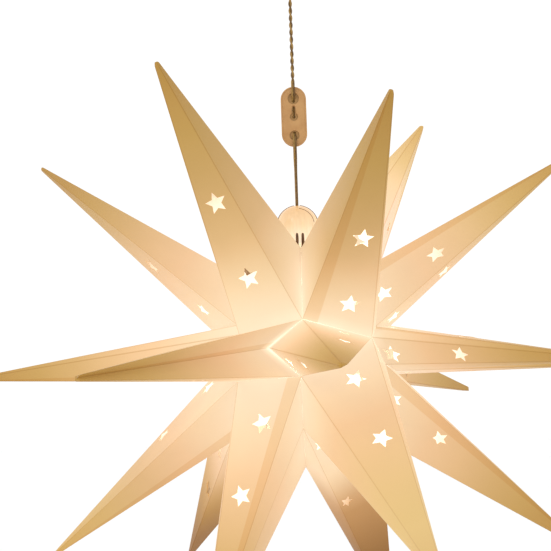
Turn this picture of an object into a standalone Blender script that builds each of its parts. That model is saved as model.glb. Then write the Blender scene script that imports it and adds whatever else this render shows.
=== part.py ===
"""Lit star lantern: twenty film points round an open core, hung on its flex from a ceiling rose.

Metres, +Z up. The origin is the middle of the ceiling rose's back face; everything hangs below it.
"""
import math

import bmesh
import bpy
from mathutils import Matrix, Vector
import numpy as np

# --- driving dimensions -------------------------------------------------------------------------
STAR_DROP = 0.378            # ceiling to the star's centre
TIP_RADIUS = 0.303           # centre to the tips: a star about 600 mm across
TIP_NOSE = 0.0036            # radius of the blunt tips
FILM = 0.0006                # folded film
FILM_GAP = 0.0002            # each point stands this far back from the joint plane
TAB_DEPTH = 0.011            # joining tabs, folded towards the centre
TAB_INSET = 0.16             # share of an edge left free beside a tab
TAB_TAPER = 0.10             # extra narrowing at a tab's inner edge
TAB_SHORTEST = 0.022         # shorter edges have no tab

STAR_OUTER = 0.0100          # the punched five-pointed stars
STAR_INNER = 0.0043
STAR_CLEAR = 0.0115          # least distance from a star's middle to a fold
STAR_PLACES = (0.115, 0.39)  # along a face, from its base edge to the tip

CORD = 0.0028                # twin flex, as a round tube
CORD_HOLE = 0.0041
CORD_STEP = 0.0031           # spacing of the points along it
CORD_CLEAR = 0.0004          # from the hanger plate's faces
CROSSING_HEIGHT = 0.0105     # length in which it changes side of the plate

ROSE_RADIUS = 0.037
ROSE_HEIGHT = 0.026
ROSE_WALL = 0.0020
ROSE_PLATE = 0.0030
ROSE_SCREW_X = 0.022
ROSE_BEND = 0.0120           # rounding of the cover
ROSE_MOUTH = 0.0052
GRIP_LENGTH = 0.0124         # cord grip below the cover, and its part inside
GRIP_INSIDE = 0.0060
GAP = 0.0003                 # between pieces that rest against each other

SWING_LEVEL = -0.0395        # the flex swings about its way out of the cord grip
NOD_LEVEL = -0.2380          # and bends above the lampholder's cap

PLATE_WIDTH = 0.0236         # oval hanger plate on the flex
PLATE_LENGTH = 0.0560
PLATE_THICK = 0.0020
PLATE_ABOVE_STAR = 0.2230    # its middle above the star's centre
PLATE_HOLE = 0.0102          # where the flex goes to the back
PLATE_HOLE_RISE = 0.0170
PLATE_EXIT = 0.0090          # where it comes back to the front
PLATE_EXIT_DROP = 0.0175
KEYHOLE = 0.0074
KEYHOLE_RISE = 0.0000
KEYHOLE_SLOT = 0.0032
KEYHOLE_TOP = 0.0090

CAP_TOP = 0.1400             # heights from here on are above the star's centre
CAP_RADIUS = 0.0190
CAP_WALL = 0.0020
CAP_BOTTOM = 0.1035
HOLDER_RADIUS = 0.0160
HOLDER_TOP = 0.1180
HOLDER_BOTTOM = 0.0720
HOLDER_FLOOR = 0.1000
SOCKET_RADIUS = 0.0139
RING_TOP = 0.0985
RING_RADIUS = 0.0205
RING_HEIGHT = 0.0080

WIRE = 0.0022                # sprung wire carrier
CARRIER_RING = 0.0184
CARRIER_LEVEL = 0.1002
ARM_FOOT = 0.0214
ARM_REACH = 0.0296
ARM_DROP = 0.0040
ARM_RISE = 0.0115
ARM_HALF_WIDTH = 0.0026

BULB_TOP = 0.0975
BULB_CAP_RADIUS = 0.0131
BULB_CAP_LENGTH = 0.0240
GLOBE_RADIUS = 0.0225
GLOBE_CENTRE = 0.0360
GLOBE_WALL = 0.0012
GLOBE_NECK = 0.0112
THREAD_PITCH = 0.0036

CLIP_LENGTH = 0.012
CLIP_DEPTH = 0.0070
CLIP_WALL = 0.0006

CENTRE = Vector((0.0, 0.0, -STAR_DROP))

# Corners of the star's core: elevation, azimuth (0 faces -Y, 90 faces +X) and distance from its centre.
# Each has a twin half a turn round the vertical axis, written with a trailing "_".
CORNERS = {
    "mouth_a": (71, 4, 0.104),
    "mouth_b": (71, 88, 0.104),
    "shoulder": (52, 87, 0.104),
    "upper_a": (22, 1, 0.088),
    "upper_b": (10, 46, 0.088),
    "upper_c": (16, 50, 0.090),
    "upper_d": (17, 76, 0.088),
    "upper_e": (20, -43, 0.088),
    "upper_f": (14, -40, 0.088),
    "pleat": (6, -20, 0.086),
    "lower_a": (-11, -1, 0.088),
    "lower_b": (-13, -42, 0.088),
    "lower_c": (-10, 76, 0.088),
    "lower_d": (-6, 58, 0.088),
    "hip": (-43, -1, 0.092),
    "haunch": (-48, 85, 0.104),
    "keel": (-90, 0, 0.101),
}

# Base outlines of the ten points of one half, counterclockwise from outside; the other half is turned.
OUTLINES = {
    "crown": ("mouth_a", "mouth_b_", "shoulder_", "upper_e", "upper_f", "upper_a"),
    "brow": ("mouth_a", "upper_a", "upper_b", "upper_c", "shoulder", "mouth_b"),
    "temple": ("shoulder", "upper_c", "upper_d", "upper_e_"),
    "left": ("upper_e", "upper_d_", "lower_c_", "lower_b", "upper_f"),
    "front_left": ("upper_a", "upper_f", "lower_b", "lower_a", "pleat"),
    "front": ("upper_a", "pleat", "lower_a", "upper_b"),
    "front_right": ("upper_c", "upper_b", "lower_d", "lower_c", "upper_d"),
    "keel": ("lower_b", "haunch_", "hip_", "keel", "hip", "lower_a"),
    "shin": ("lower_a", "hip", "haunch", "lower_d", "upper_b"),
    "calf": ("lower_c", "lower_d", "haunch", "lower_b_"),
}

# The joints that end at the star's mouth, as their upper and lower corners.
MOUTH_JOINTS = (("mouth_a", "upper_a"), ("mouth_b", "shoulder"))

# The twenty points: base outline, turned or not, tip elevation and azimuth, and the faces that are
# punched, counted from the outline's first corner.
POINTS = (
    ("crown", False, 58, -47, (2, 4, 0)),
    ("brow", False, 43.6, 21, (1, 4)),
    ("temple", False, 35, 87, (0, 1)),
    ("left", False, -2, -87, (0, 2)),
    ("front_left", False, -2, -34.5, (1, 2)),
    ("front", False, -1.3, 5.4, (3, 1)),
    ("front_right", False, -1.6, 50, (1, 4)),
    ("keel", False, -62.5, -42.5, (5, 0)),
    ("shin", False, -36, 25, (4, 1)),
    ("calf", False, -36, 91, (1, 3)),
    ("crown", True, 49.7, 138, (2, 4, 0)),
    ("brow", True, 44, -158, (1, 4)),
    ("temple", True, 37.6, -94, (1, 2)),
    ("left", True, -3, 100, (0, 2)),
    ("front_left", True, -7.6, 144, (1, 2)),
    ("front", True, -2, -174, (3, 1)),
    ("front_right", True, -2, -128, (1, 4)),
    ("keel", True, -59, 148.5, (1, 4)),
    ("shin", True, -41.5, -147, (4, 2)),
    ("calf", True, -36, -101, (3, 1)),
)

# Points whose two stars stand at other heights, and faces whose stars stand off the middle.
OTHER_PLACES = {
    1: (0.192, 0.484),
    2: (0.120, 0.415),
    3: (0.055, 0.330),
    7: (0.060, 0.410),
    8: (0.155, 0.405),
    9: (0.130, 0.410),
    10: (0.050, 0.290),
    18: (0.070, 0.360),
    19: (0.190, 0.470),
    20: (0.055, 0.330),
}
OFF_MIDDLE = {
    (2, 1): 0.60,
    (3, 0): 0.60,
    (6, 3): 0.40,
    (7, 1): 0.65,
    (8, 5): 0.38,
    (9, 4): 0.40,
    (10, 1): 0.31,
    (18, 1): 0.85,
    (19, 2): 0.25,
    (20, 3): 0.80,
}


# --- helpers ------------------------------------------------------------------------------------
def new_collection(name):
    collection = bpy.data.collections.new(name)
    bpy.context.scene.collection.children.link(collection)
    return collection


def material(name, colour, roughness, metallic=0.0):
    made = bpy.data.materials.new(name)
    made.use_nodes = True
    shader = made.node_tree.nodes["Principled BSDF"]
    shader.inputs["Base Color"].default_value = (*colour, 1.0)
    shader.inputs["Roughness"].default_value = roughness
    shader.inputs["Metallic"].default_value = metallic
    return made


def add(name, mesh, finish, collection, place=(0.0, 0.0, 0.0)):
    made = bpy.data.objects.new(name, mesh)
    collection.objects.link(made)
    made.location = place
    if finish is not None:
        mesh.materials.append(finish)
    return made


def axis_empty(name, level, collection):
    """An empty on the lantern's centre line, at a joint's height."""
    made = bpy.data.objects.new(name, None)
    collection.objects.link(made)
    made.location = (0.0, 0.0, level)
    return made


def hang_from(empty, children):
    """Parent objects to an empty and leave them where they are."""
    bpy.context.view_layer.update()
    for child in children:
        child.parent = empty
        child.matrix_parent_inverse = empty.matrix_world.inverted()


def direction(elevation, azimuth):
    up = math.radians(elevation)
    round_z = math.radians(azimuth)
    return Vector((math.cos(up) * math.sin(round_z), -math.cos(up) * math.cos(round_z), math.sin(up)))


def turned(name, profile, finish, collection, steps=20, edges=None):
    """Screw a profile of (radius, height) about Z; outer side first, top to bottom."""
    mesh = bpy.data.meshes.new(name)
    if edges is None:
        edges = [(i, i + 1) for i in range(len(profile) - 1)]
        if profile[0][0] > 0.0:
            edges.append((len(profile) - 1, 0))
    mesh.from_pydata([(radius, 0.0, height) for radius, height in profile], edges, [])
    made = add(name, mesh, finish, collection)
    screw = made.modifiers.new("Screw", "SCREW")
    screw.axis = "Z"
    screw.steps = steps
    screw.render_steps = steps
    screw.use_merge_vertices = True
    screw.merge_threshold = 0.00002
    screw.use_smooth_shade = True
    return made


def bake(source, name):
    """The evaluated object as a plain welded mesh, in its own place."""
    bpy.context.view_layer.update()
    graph = bpy.context.evaluated_depsgraph_get()
    mesh = bpy.data.meshes.new_from_object(source.evaluated_get(graph))
    mesh.name = name
    work = bmesh.new()
    work.from_mesh(mesh)
    bmesh.ops.remove_doubles(work, verts=work.verts, dist=0.00001)
    bmesh.ops.recalc_face_normals(work, faces=work.faces)
    work.to_mesh(mesh)
    work.free()
    return mesh


def join(name, sources, finish, collection):
    """Several finished objects as one object of separate solids."""
    work = bmesh.new()
    for source in sources:
        mesh = bake(source, name)
        mesh.transform(source.matrix_world)
        work.from_mesh(mesh)
        bpy.data.meshes.remove(mesh)
        bpy.data.objects.remove(source)
    mesh = bpy.data.meshes.new(name)
    work.to_mesh(mesh)
    work.free()
    mesh.materials.clear()
    return add(name, mesh, finish, collection)


def cut(target, cutter):
    cutter.hide_render = True
    cutter.display_type = "WIRE"
    boolean = target.modifiers.new("Cut " + cutter.name, "BOOLEAN")
    boolean.operation = "DIFFERENCE"
    boolean.solver = "EXACT"
    boolean.object = cutter


def tube(name, points, width, finish, collection, cyclic=False, resolution=2):
    curve = bpy.data.curves.new(name, "CURVE")
    curve.dimensions = "3D"
    curve.bevel_depth = width / 2
    curve.bevel_resolution = resolution
    curve.use_fill_caps = True
    spline = curve.splines.new("POLY")
    spline.points.add(len(points) - 1)
    for spot, point in zip(points, spline.points):
        point.co = (*spot, 1.0)
    spline.use_cyclic_u = cyclic
    if finish is not None:
        curve.materials.append(finish)
    made = bpy.data.objects.new(name, curve)
    collection.objects.link(made)
    return made


def smooth_path(route, spacing):
    """Points at an even spacing along a Catmull-Rom curve through the route."""
    knots = [Vector(spot) for spot in route]
    ends = [2 * knots[0] - knots[1]] + knots + [2 * knots[-1] - knots[-2]]
    dense = []
    for i in range(1, len(ends) - 2):
        a, b, c, d = ends[i - 1:i + 3]
        for step in range(24):
            t = step / 24
            dense.append(0.5 * (2 * b + (c - a) * t + (2 * a - 5 * b + 4 * c - d) * t ** 2
                                + (3 * b - a - 3 * c + d) * t ** 3))
    dense.append(knots[-1])
    lengths = [0.0]
    for before, after in zip(dense, dense[1:]):
        lengths.append(lengths[-1] + (after - before).length)
    count = max(2, round(lengths[-1] / spacing) + 1)
    path = []
    for wanted in np.linspace(0.0, lengths[-1], count):
        i = min(max(int(np.searchsorted(lengths, wanted)), 1), len(dense) - 1)
        share = (wanted - lengths[i - 1]) / (lengths[i] - lengths[i - 1])
        path.append(dense[i - 1].lerp(dense[i], share))
    return path


# --- the star -----------------------------------------------------------------------------------
def corner(name, turn):
    key = name.rstrip("_")
    elevation, azimuth, distance = CORNERS[key]
    half_turn = name.endswith("_") != turn
    return direction(elevation, azimuth + (180 if half_turn else 0)) * distance


def inset_outline(outline):
    """Move each corner in from the joint planes, which pass through the star's centre."""
    count = len(outline)
    inward = [outline[i].cross(outline[(i + 1) % count]).normalized() for i in range(count)]
    moved = []
    for i, spot in enumerate(outline):
        rows = np.array([inward[i - 1], inward[i], spot.normalized()])
        shift = np.linalg.lstsq(rows, np.array([FILM_GAP, FILM_GAP, 0.0]), rcond=0.05)[0]
        moved.append(spot + Vector(shift))
    return moved


def blunt_end(outline, tip):
    """The outline of a point's blunt end: a small copy of its base outline."""
    middle = sum(outline, Vector()) / len(outline)
    size = sum((spot - middle).length for spot in outline) / len(outline)
    centre = tip.lerp(middle, 0.5 * TIP_NOSE / (tip - middle).length)
    return [centre + (spot - middle) * TIP_NOSE / size for spot in outline]


def film_sheet(name, outline, tip):
    """Open folded surface of one point: its faces, its blunt end and its joining tabs."""
    work = bmesh.new()
    count = len(outline)
    base = [work.verts.new(spot) for spot in outline]
    end = [work.verts.new(spot) for spot in blunt_end(outline, tip)]
    work.faces.new(end)
    for i in range(count):
        j = (i + 1) % count
        start, stop = outline[i], outline[j]
        length = (stop - start).length
        foot = [base[i], base[j]]
        if length > TAB_SHORTEST:
            near = start.lerp(stop, TAB_INSET)
            far = start.lerp(stop, 1 - TAB_INSET)
            inner_near = start.lerp(stop, TAB_INSET + TAB_TAPER)
            inner_far = start.lerp(stop, 1 - TAB_INSET - TAB_TAPER)
            plane = start.cross(stop).normalized()
            level = (stop - start).cross(plane).normalized()
            fold = [work.verts.new(near), work.verts.new(far)]
            inner = [work.verts.new(spot - level * TAB_DEPTH) for spot in (inner_far, inner_near)]
            foot = [base[i], fold[0], fold[1], base[j]]
            work.faces.new((fold[1], fold[0], inner[1], inner[0]))
        work.faces.new([*foot, end[j], end[i]])
    bmesh.ops.recalc_face_normals(work, faces=work.faces)
    mesh = bpy.data.meshes.new(name)
    work.to_mesh(mesh)
    work.free()
    return mesh


def star_prism(work, centre, along, outward):
    """A five-pointed star prism through the film, with one arm towards the tip."""
    across = along.cross(outward)
    rings = []
    for side in (-0.004, 0.004):
        ring = []
        for k in range(10):
            reach = STAR_OUTER if k % 2 == 0 else STAR_INNER
            turn = math.radians(36 * k)
            spot = along * math.cos(turn) * reach + across * math.sin(turn) * reach
            ring.append(work.verts.new(centre + spot + outward * side))
        rings.append(ring)
        work.faces.new(ring)
    for k in range(10):
        n = (k + 1) % 10
        work.faces.new((rings[0][k], rings[0][n], rings[1][n], rings[1][k]))


def star_punch(name, number, outline, tip, punched, collection):
    """The punch for one point: two stars in each punched face."""
    work = bmesh.new()
    end = blunt_end(outline, tip)
    for face in punched:
        after = (face + 1) % len(outline)
        start, stop = outline[face], outline[after]
        along = (end[face].lerp(end[after], 0.5) - start.lerp(stop, 0.5)).normalized()
        outward = (stop - start).cross(end[face] - start).normalized()
        for share in OTHER_PLACES.get(number, STAR_PLACES):
            left = start.lerp(end[face], share)
            right = stop.lerp(end[after], share)
            clear = min(STAR_CLEAR / (right - left).length, 0.5)
            aside = min(max(OFF_MIDDLE.get((number, face), 0.5), clear), 1.0 - clear)
            star_prism(work, left.lerp(right, aside), along, outward)
    bmesh.ops.recalc_face_normals(work, faces=work.faces)
    mesh = bpy.data.meshes.new(name)
    work.to_mesh(mesh)
    work.free()
    return add(name, mesh, None, collection, CENTRE)


def make_points(finish, parts, cutters):
    points = []
    for number, (key, turn, elevation, azimuth, punched) in enumerate(POINTS, start=1):
        name = f"point_{number:02d}"
        outline = inset_outline([corner(spot, turn) for spot in OUTLINES[key]])
        tip = direction(elevation, azimuth) * TIP_RADIUS
        point = add(name, film_sheet(name, outline, tip), finish, parts, CENTRE)
        shell = point.modifiers.new("Film", "SOLIDIFY")
        shell.thickness = FILM
        shell.offset = -1.0
        shell.use_even_offset = True
        cut(point, star_punch(name + "_punch", number, outline, tip, punched, cutters))
        points.append(point)
    return points


def joint_clip(name, start, stop, finish, collection):
    """U-shaped spring clip pushed over a pair of tabs from inside."""
    middle = start.lerp(stop, 0.5)
    along = (stop - start).normalized()
    across = start.cross(stop).normalized()
    inward = across.cross(along).normalized()
    if inward.dot(middle) > 0:
        inward.negate()
    slot = FILM + FILM_GAP + 0.0003
    reach = slot + CLIP_WALL
    depth = TAB_DEPTH + 0.0003
    outline = ((-reach, depth - CLIP_DEPTH), (-slot, depth - CLIP_DEPTH), (-slot, depth), (slot, depth),
               (slot, depth - CLIP_DEPTH), (reach, depth - CLIP_DEPTH), (reach, depth + CLIP_WALL),
               (-reach, depth + CLIP_WALL))
    work = bmesh.new()
    verts = [work.verts.new(middle + across * x + inward * y - along * CLIP_LENGTH / 2) for x, y in outline]
    profile = work.faces.new(verts)
    grown = bmesh.ops.extrude_face_region(work, geom=[profile])
    lifted = [item for item in grown["geom"] if isinstance(item, bmesh.types.BMVert)]
    bmesh.ops.translate(work, verts=lifted, vec=along * CLIP_LENGTH)
    bmesh.ops.recalc_face_normals(work, faces=work.faces)
    mesh = bpy.data.meshes.new(name)
    work.to_mesh(mesh)
    work.free()
    return add(name, mesh, finish, collection, CENTRE)


def make_clips(finish, parts):
    """The clips of the four joints that end at the star's mouth."""
    clips = []
    for turn in (False, True):
        for upper, lower in MOUTH_JOINTS:
            name = f"mouth_clip_{len(clips) + 1}"
            clips.append(joint_clip(name, corner(upper, turn), corner(lower, turn), finish, parts))
    return clips


# --- flex and hanger plate ----------------------------------------------------------------------
def plate_centre():
    return Vector((0.0, 0.0, PLATE_ABOVE_STAR - STAR_DROP))


def crossing(level, side):
    """Route points where the flex changes side through a hole, going down."""
    proud = PLATE_THICK / 2 + CORD / 2 + CORD_CLEAR
    spots = []
    for share in (-0.5, -0.25, 0.0, 0.25, 0.5):
        spots.append((0.0, side * proud * math.sin(math.pi * share), level - CROSSING_HEIGHT * share))
    return spots


def flex_route():
    """From inside the rose, through the plate's two end holes, into the lampholder cap."""
    middle = plate_centre().z
    proud = PLATE_THICK / 2 + CORD / 2 + CORD_CLEAR
    upper_edge = middle + PLATE_LENGTH / 2
    lower_edge = middle - PLATE_LENGTH / 2
    return [
        (0.0, 0.0, -0.0165),
        (0.0, 0.0, -0.040),
        (0.0, 0.0, -0.070),
        (0.0, 0.0, upper_edge + 0.030),
        (0.0, -proud * 0.7, upper_edge + 0.010),
        (0.0, -proud - 0.0003, upper_edge + 0.001),
        *crossing(middle + PLATE_HOLE_RISE, 1),
        (0.0, proud, middle),
        *crossing(middle - PLATE_EXIT_DROP, -1),
        (0.0, -proud - 0.0003, lower_edge - 0.001),
        (0.0, -proud * 0.7, lower_edge - 0.010),
        (0.0, 0.0, lower_edge - 0.028),
        (0.0, 0.0, CAP_TOP - STAR_DROP + 0.020),
        (0.0, 0.0, HOLDER_TOP - STAR_DROP + 0.0050),
    ]


def make_flex(finish, parts):
    return tube("flex", smooth_path(flex_route(), CORD_STEP), CORD, finish, parts)


def ring_outline(centre_z, radius, count, start=0.0, sweep=360.0):
    spots = []
    steps = count if sweep >= 360.0 else count - 1
    for k in range(count):
        turn = math.radians(start + sweep * k / steps)
        spots.append((radius * math.cos(turn), centre_z + radius * math.sin(turn)))
    return spots


def plate_outlines():
    half = PLATE_WIDTH / 2
    reach = PLATE_LENGTH / 2 - half
    outer = ring_outline(reach, half, 11, 0.0, 180.0) + ring_outline(-reach, half, 11, 180.0, 180.0)
    side = math.degrees(math.asin(KEYHOLE_SLOT / KEYHOLE))
    keyhole = ring_outline(KEYHOLE_RISE, KEYHOLE / 2, 14, 90.0 + side, 360.0 - 2 * side - 0.01)
    keyhole += ring_outline(KEYHOLE_TOP, KEYHOLE_SLOT / 2, 5, 0.0, 180.0)
    return [outer, ring_outline(PLATE_HOLE_RISE, PLATE_HOLE / 2, 16),
            ring_outline(-PLATE_EXIT_DROP, PLATE_EXIT / 2, 16), keyhole]


def make_plate(finish, parts):
    curve = bpy.data.curves.new("hanger_plate_outline", "CURVE")
    curve.dimensions = "2D"
    curve.fill_mode = "BOTH"
    curve.extrude = PLATE_THICK / 2
    for outline in plate_outlines():
        spline = curve.splines.new("POLY")
        spline.points.add(len(outline) - 1)
        for (x, z), point in zip(outline, spline.points):
            point.co = (x, z, 0.0, 1.0)
        spline.use_cyclic_u = True
    drawn = bpy.data.objects.new("hanger_plate_outline", curve)
    parts.objects.link(drawn)
    mesh = bake(drawn, "hanger_plate")
    bpy.data.objects.remove(drawn)
    mesh.transform(Matrix.Rotation(math.radians(90), 4, "X"))
    mesh.materials.clear()
    return add("hanger_plate", mesh, finish, parts, plate_centre())


# --- ceiling rose -------------------------------------------------------------------------------
def make_rose_base(finishes, parts, cutters):
    inner = ROSE_RADIUS - ROSE_WALL - 2 * GAP
    base = turned("rose_base", [(0.0, 0.0), (inner, 0.0), (inner, -ROSE_PLATE), (0.0, -ROSE_PLATE)],
                  finishes["white"], parts, 28)
    holes = []
    screws = []
    head = ROSE_PLATE + GAP
    for side in (-1, 1):
        place = (side * ROSE_SCREW_X, 0.0, 0.0)
        hole = turned("rose_hole", [(0.0, 0.01), (0.0023, 0.01), (0.0023, -0.01), (0.0, -0.01)], None,
                      cutters, 12)
        hole.location = place
        holes.append(hole)
        profile = [(0.0, -0.0004), (0.0017, -0.0004), (0.0017, -head), (0.0038, -head),
                   (0.0030, -head - 0.0020), (0.0, -head - 0.0024)]
        screw = turned(f"rose_screw_{len(screws) + 1}", profile, finishes["steel"], parts, 12)
        screw.location = place
        screws.append(screw)
    bpy.context.view_layer.update()
    cut(base, join("rose_holes", holes, None, cutters))
    size = (0.020, 0.013, 0.010)
    block = add("terminal_block", box_mesh("terminal_block", size), finishes["white"], parts,
                (0.0, 0.0, -head - size[2] / 2))
    edge = block.modifiers.new("Edge", "BEVEL")
    edge.width = 0.0008
    edge.segments = 1


def make_rose_cover(finish, parts):
    """Shallow bowl over the base, with a hole for the cord grip in its middle."""
    low = -ROSE_HEIGHT
    turn_in = ROSE_RADIUS - ROSE_BEND
    bends = [math.radians(degrees) for degrees in (30, 60, 90)]
    profile = [(ROSE_RADIUS, -GAP), (ROSE_RADIUS, low + ROSE_BEND)]
    profile += [(turn_in + ROSE_BEND * math.cos(a), low + ROSE_BEND - ROSE_BEND * math.sin(a)) for a in bends]
    profile += [(ROSE_MOUTH, low), (ROSE_MOUTH, low + ROSE_WALL)]
    tight = ROSE_BEND - ROSE_WALL
    bends.reverse()
    profile += [(turn_in + tight * math.cos(a), low + ROSE_BEND - tight * math.sin(a)) for a in bends]
    profile += [(ROSE_RADIUS - ROSE_WALL, low + ROSE_BEND), (ROSE_RADIUS - ROSE_WALL, -GAP)]
    turned("rose_cover", profile, finish, parts, 28)


def make_cord_grip(finish, parts):
    low = -ROSE_HEIGHT
    bore = CORD_HOLE / 2
    neck = ROSE_MOUTH - 0.0004
    profile = [(0.0078, low - GAP), (0.0070, low - 0.0028), (0.0036, low - GRIP_LENGTH + 0.0004),
               (bore, low - GRIP_LENGTH), (bore, low + GRIP_INSIDE), (neck, low + GRIP_INSIDE),
               (neck, low - GAP)]
    turned("cord_grip", profile, finish, parts, 16)


def box_mesh(name, size):
    work = bmesh.new()
    bmesh.ops.create_cube(work, size=1.0)
    bmesh.ops.scale(work, vec=Vector(size), verts=work.verts)
    mesh = bpy.data.meshes.new(name)
    work.to_mesh(mesh)
    work.free()
    return mesh


# --- lampholder and bulb ------------------------------------------------------------------------
def dome_arc(radius, centre, first, last, count):
    """Quarter-dome points from the angle above level `first` to `last`, in degrees."""
    spots = []
    for k in range(count):
        angle = math.radians(first + (last - first) * k / (count - 1))
        spots.append((radius * math.cos(angle), centre + radius * math.sin(angle)))
    return spots


def make_holder_cap(finish, parts):
    centre = CAP_TOP - CAP_RADIUS
    inner = CAP_RADIUS - CAP_WALL
    bore = CORD_HOLE / 2
    outer_start = math.degrees(math.acos(bore / CAP_RADIUS))
    inner_start = math.degrees(math.acos(bore / inner))
    profile = dome_arc(CAP_RADIUS, centre, outer_start, 0.0, 8) + [(CAP_RADIUS, CAP_BOTTOM)]
    profile += [(inner, CAP_BOTTOM)] + dome_arc(inner, centre, 0.0, inner_start, 8)
    cap = turned("holder_cap", profile, finish, parts, 24)
    cap.location = CENTRE
    return cap


def make_holder(finishes, parts):
    """Lampholder, its contact and the ring that would clamp a shade on it."""
    lip = HOLDER_RADIUS
    bore = SOCKET_RADIUS
    body = turned("lampholder", [(0.0, HOLDER_TOP), (lip - 0.003, HOLDER_TOP), (lip, HOLDER_TOP - 0.003),
                                 (lip, HOLDER_BOTTOM), (bore, HOLDER_BOTTOM), (bore, HOLDER_FLOOR),
                                 (0.0, HOLDER_FLOOR)], finishes["white"], parts, 24)
    top = HOLDER_FLOOR - GAP
    contact = turned("holder_contact", [(0.0, top), (0.0050, top), (0.0045, top - 0.0009),
                                        (0.0, top - 0.0017)], finishes["brass"], parts, 12)
    low = RING_TOP - RING_HEIGHT
    inside = HOLDER_RADIUS + GAP
    ring = turned("shade_ring", [(RING_RADIUS, RING_TOP), (RING_RADIUS, low + 0.0015),
                                 (RING_RADIUS - 0.0015, low), (inside, low), (inside, RING_TOP)],
                  finishes["white"], parts, 24)
    for piece in (body, contact, ring):
        piece.location = CENTRE
    return [body, contact, ring]


def arm_leg(outward, across, side):
    """One leg of a sprung arm, from the ring out to its foot; the return leg runs the other way."""
    middle = (ARM_FOOT + ARM_REACH) / 2
    leg = [(CARRIER_RING, 0.0), (ARM_FOOT, 0.0012), (ARM_FOOT + 0.0014, ARM_RISE * 0.65),
           (middle, ARM_RISE), (ARM_REACH - 0.0008, ARM_RISE * 0.65), (ARM_REACH, -ARM_DROP)]
    if side == 1:
        leg.reverse()
    return [outward * reach + across * side * ARM_HALF_WIDTH + Vector((0.0, 0.0, CARRIER_LEVEL + rise))
            for reach, rise in leg]


def carrier_route():
    """One endless wire: round the holder, with an arm out to each corner of the star's mouth."""
    azimuths = []
    for name in ("mouth_a", "mouth_b"):
        azimuths += [CORNERS[name][1], CORNERS[name][1] + 180]
    azimuths.sort()
    lead = math.degrees(ARM_HALF_WIDTH / CARRIER_RING) + 9.0
    level = Vector((0.0, 0.0, CARRIER_LEVEL))
    spots = []
    for azimuth, following in zip(azimuths, azimuths[1:] + [azimuths[0] + 360]):
        outward = direction(0, azimuth)
        across = Vector((-outward.y, outward.x, 0.0))
        spots += arm_leg(outward, across, -1)
        spots.append(outward * ARM_REACH + level + Vector((0.0, 0.0, -ARM_DROP - 0.0024)))
        spots += arm_leg(outward, across, 1)
        for share in np.linspace(0.0, 1.0, 5):
            angle = azimuth + lead + (following - azimuth - 2 * lead) * share
            spots.append(direction(0, angle) * CARRIER_RING + level)
    return spots


def make_carrier(finish, parts):
    carrier = tube("shade_carrier", carrier_route(), WIRE, finish, parts, cyclic=True, resolution=1)
    carrier.location = CENTRE
    return carrier


def bulb_base_profile():
    """Screw cap of the bulb, its thread as plain ridges."""
    profile = [(0.0, BULB_TOP), (0.0045, BULB_TOP - 0.0006), (0.0100, BULB_TOP - 0.0035)]
    for turn in range(5):
        level = BULB_TOP - 0.0045 - THREAD_PITCH * turn
        profile.append((BULB_CAP_RADIUS, level - THREAD_PITCH * 0.25))
        profile.append((BULB_CAP_RADIUS - 0.0010, level - THREAD_PITCH * 0.75))
    low = BULB_TOP - BULB_CAP_LENGTH
    return profile + [(BULB_CAP_RADIUS - 0.0006, low), (0.0, low)]


def make_bulb(finishes, parts):
    base = turned("bulb_base", bulb_base_profile(), finishes["steel"], parts, 16)
    inner = GLOBE_RADIUS - GLOBE_WALL
    top = BULB_TOP - BULB_CAP_LENGTH - GAP
    outer_start = math.degrees(math.acos(GLOBE_NECK / GLOBE_RADIUS))
    inner_end = math.degrees(math.acos((GLOBE_NECK - GLOBE_WALL) / inner))
    outer_arc = dome_arc(GLOBE_RADIUS, GLOBE_CENTRE, outer_start, -90.0, 12)
    inner_arc = dome_arc(inner, GLOBE_CENTRE, -90.0, inner_end, 12)
    outer_arc[-1] = (0.0, GLOBE_CENTRE - GLOBE_RADIUS)
    inner_arc[0] = (0.0, GLOBE_CENTRE - inner)
    globe = turned_bowl("bulb_globe", [(GLOBE_NECK, top)] + outer_arc,
                        inner_arc + [(GLOBE_NECK - GLOBE_WALL, top)], finishes["globe"], parts)
    stem = turned("led_stem", [(0.0, top - GAP), (0.0078, top - GAP), (0.0060, top - 0.004),
                               (0.0030, GLOBE_CENTRE + 0.010), (0.0030, GLOBE_CENTRE - 0.006),
                               (0.0, GLOBE_CENTRE - 0.008)], finishes["white"], parts, 12)
    for piece in (base, globe, stem):
        piece.location = CENTRE
    return [base, globe, stem]


def turned_bowl(name, outer, inner, finish, collection):
    """A turned bowl open at its top: the outer side runs down to the axis, the inner side back up."""
    profile = outer + inner
    edges = [(i, i + 1) for i in range(len(profile) - 1) if i != len(outer) - 1]
    edges.append((len(profile) - 1, 0))
    return turned(name, profile, finish, collection, 20, edges)


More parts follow.
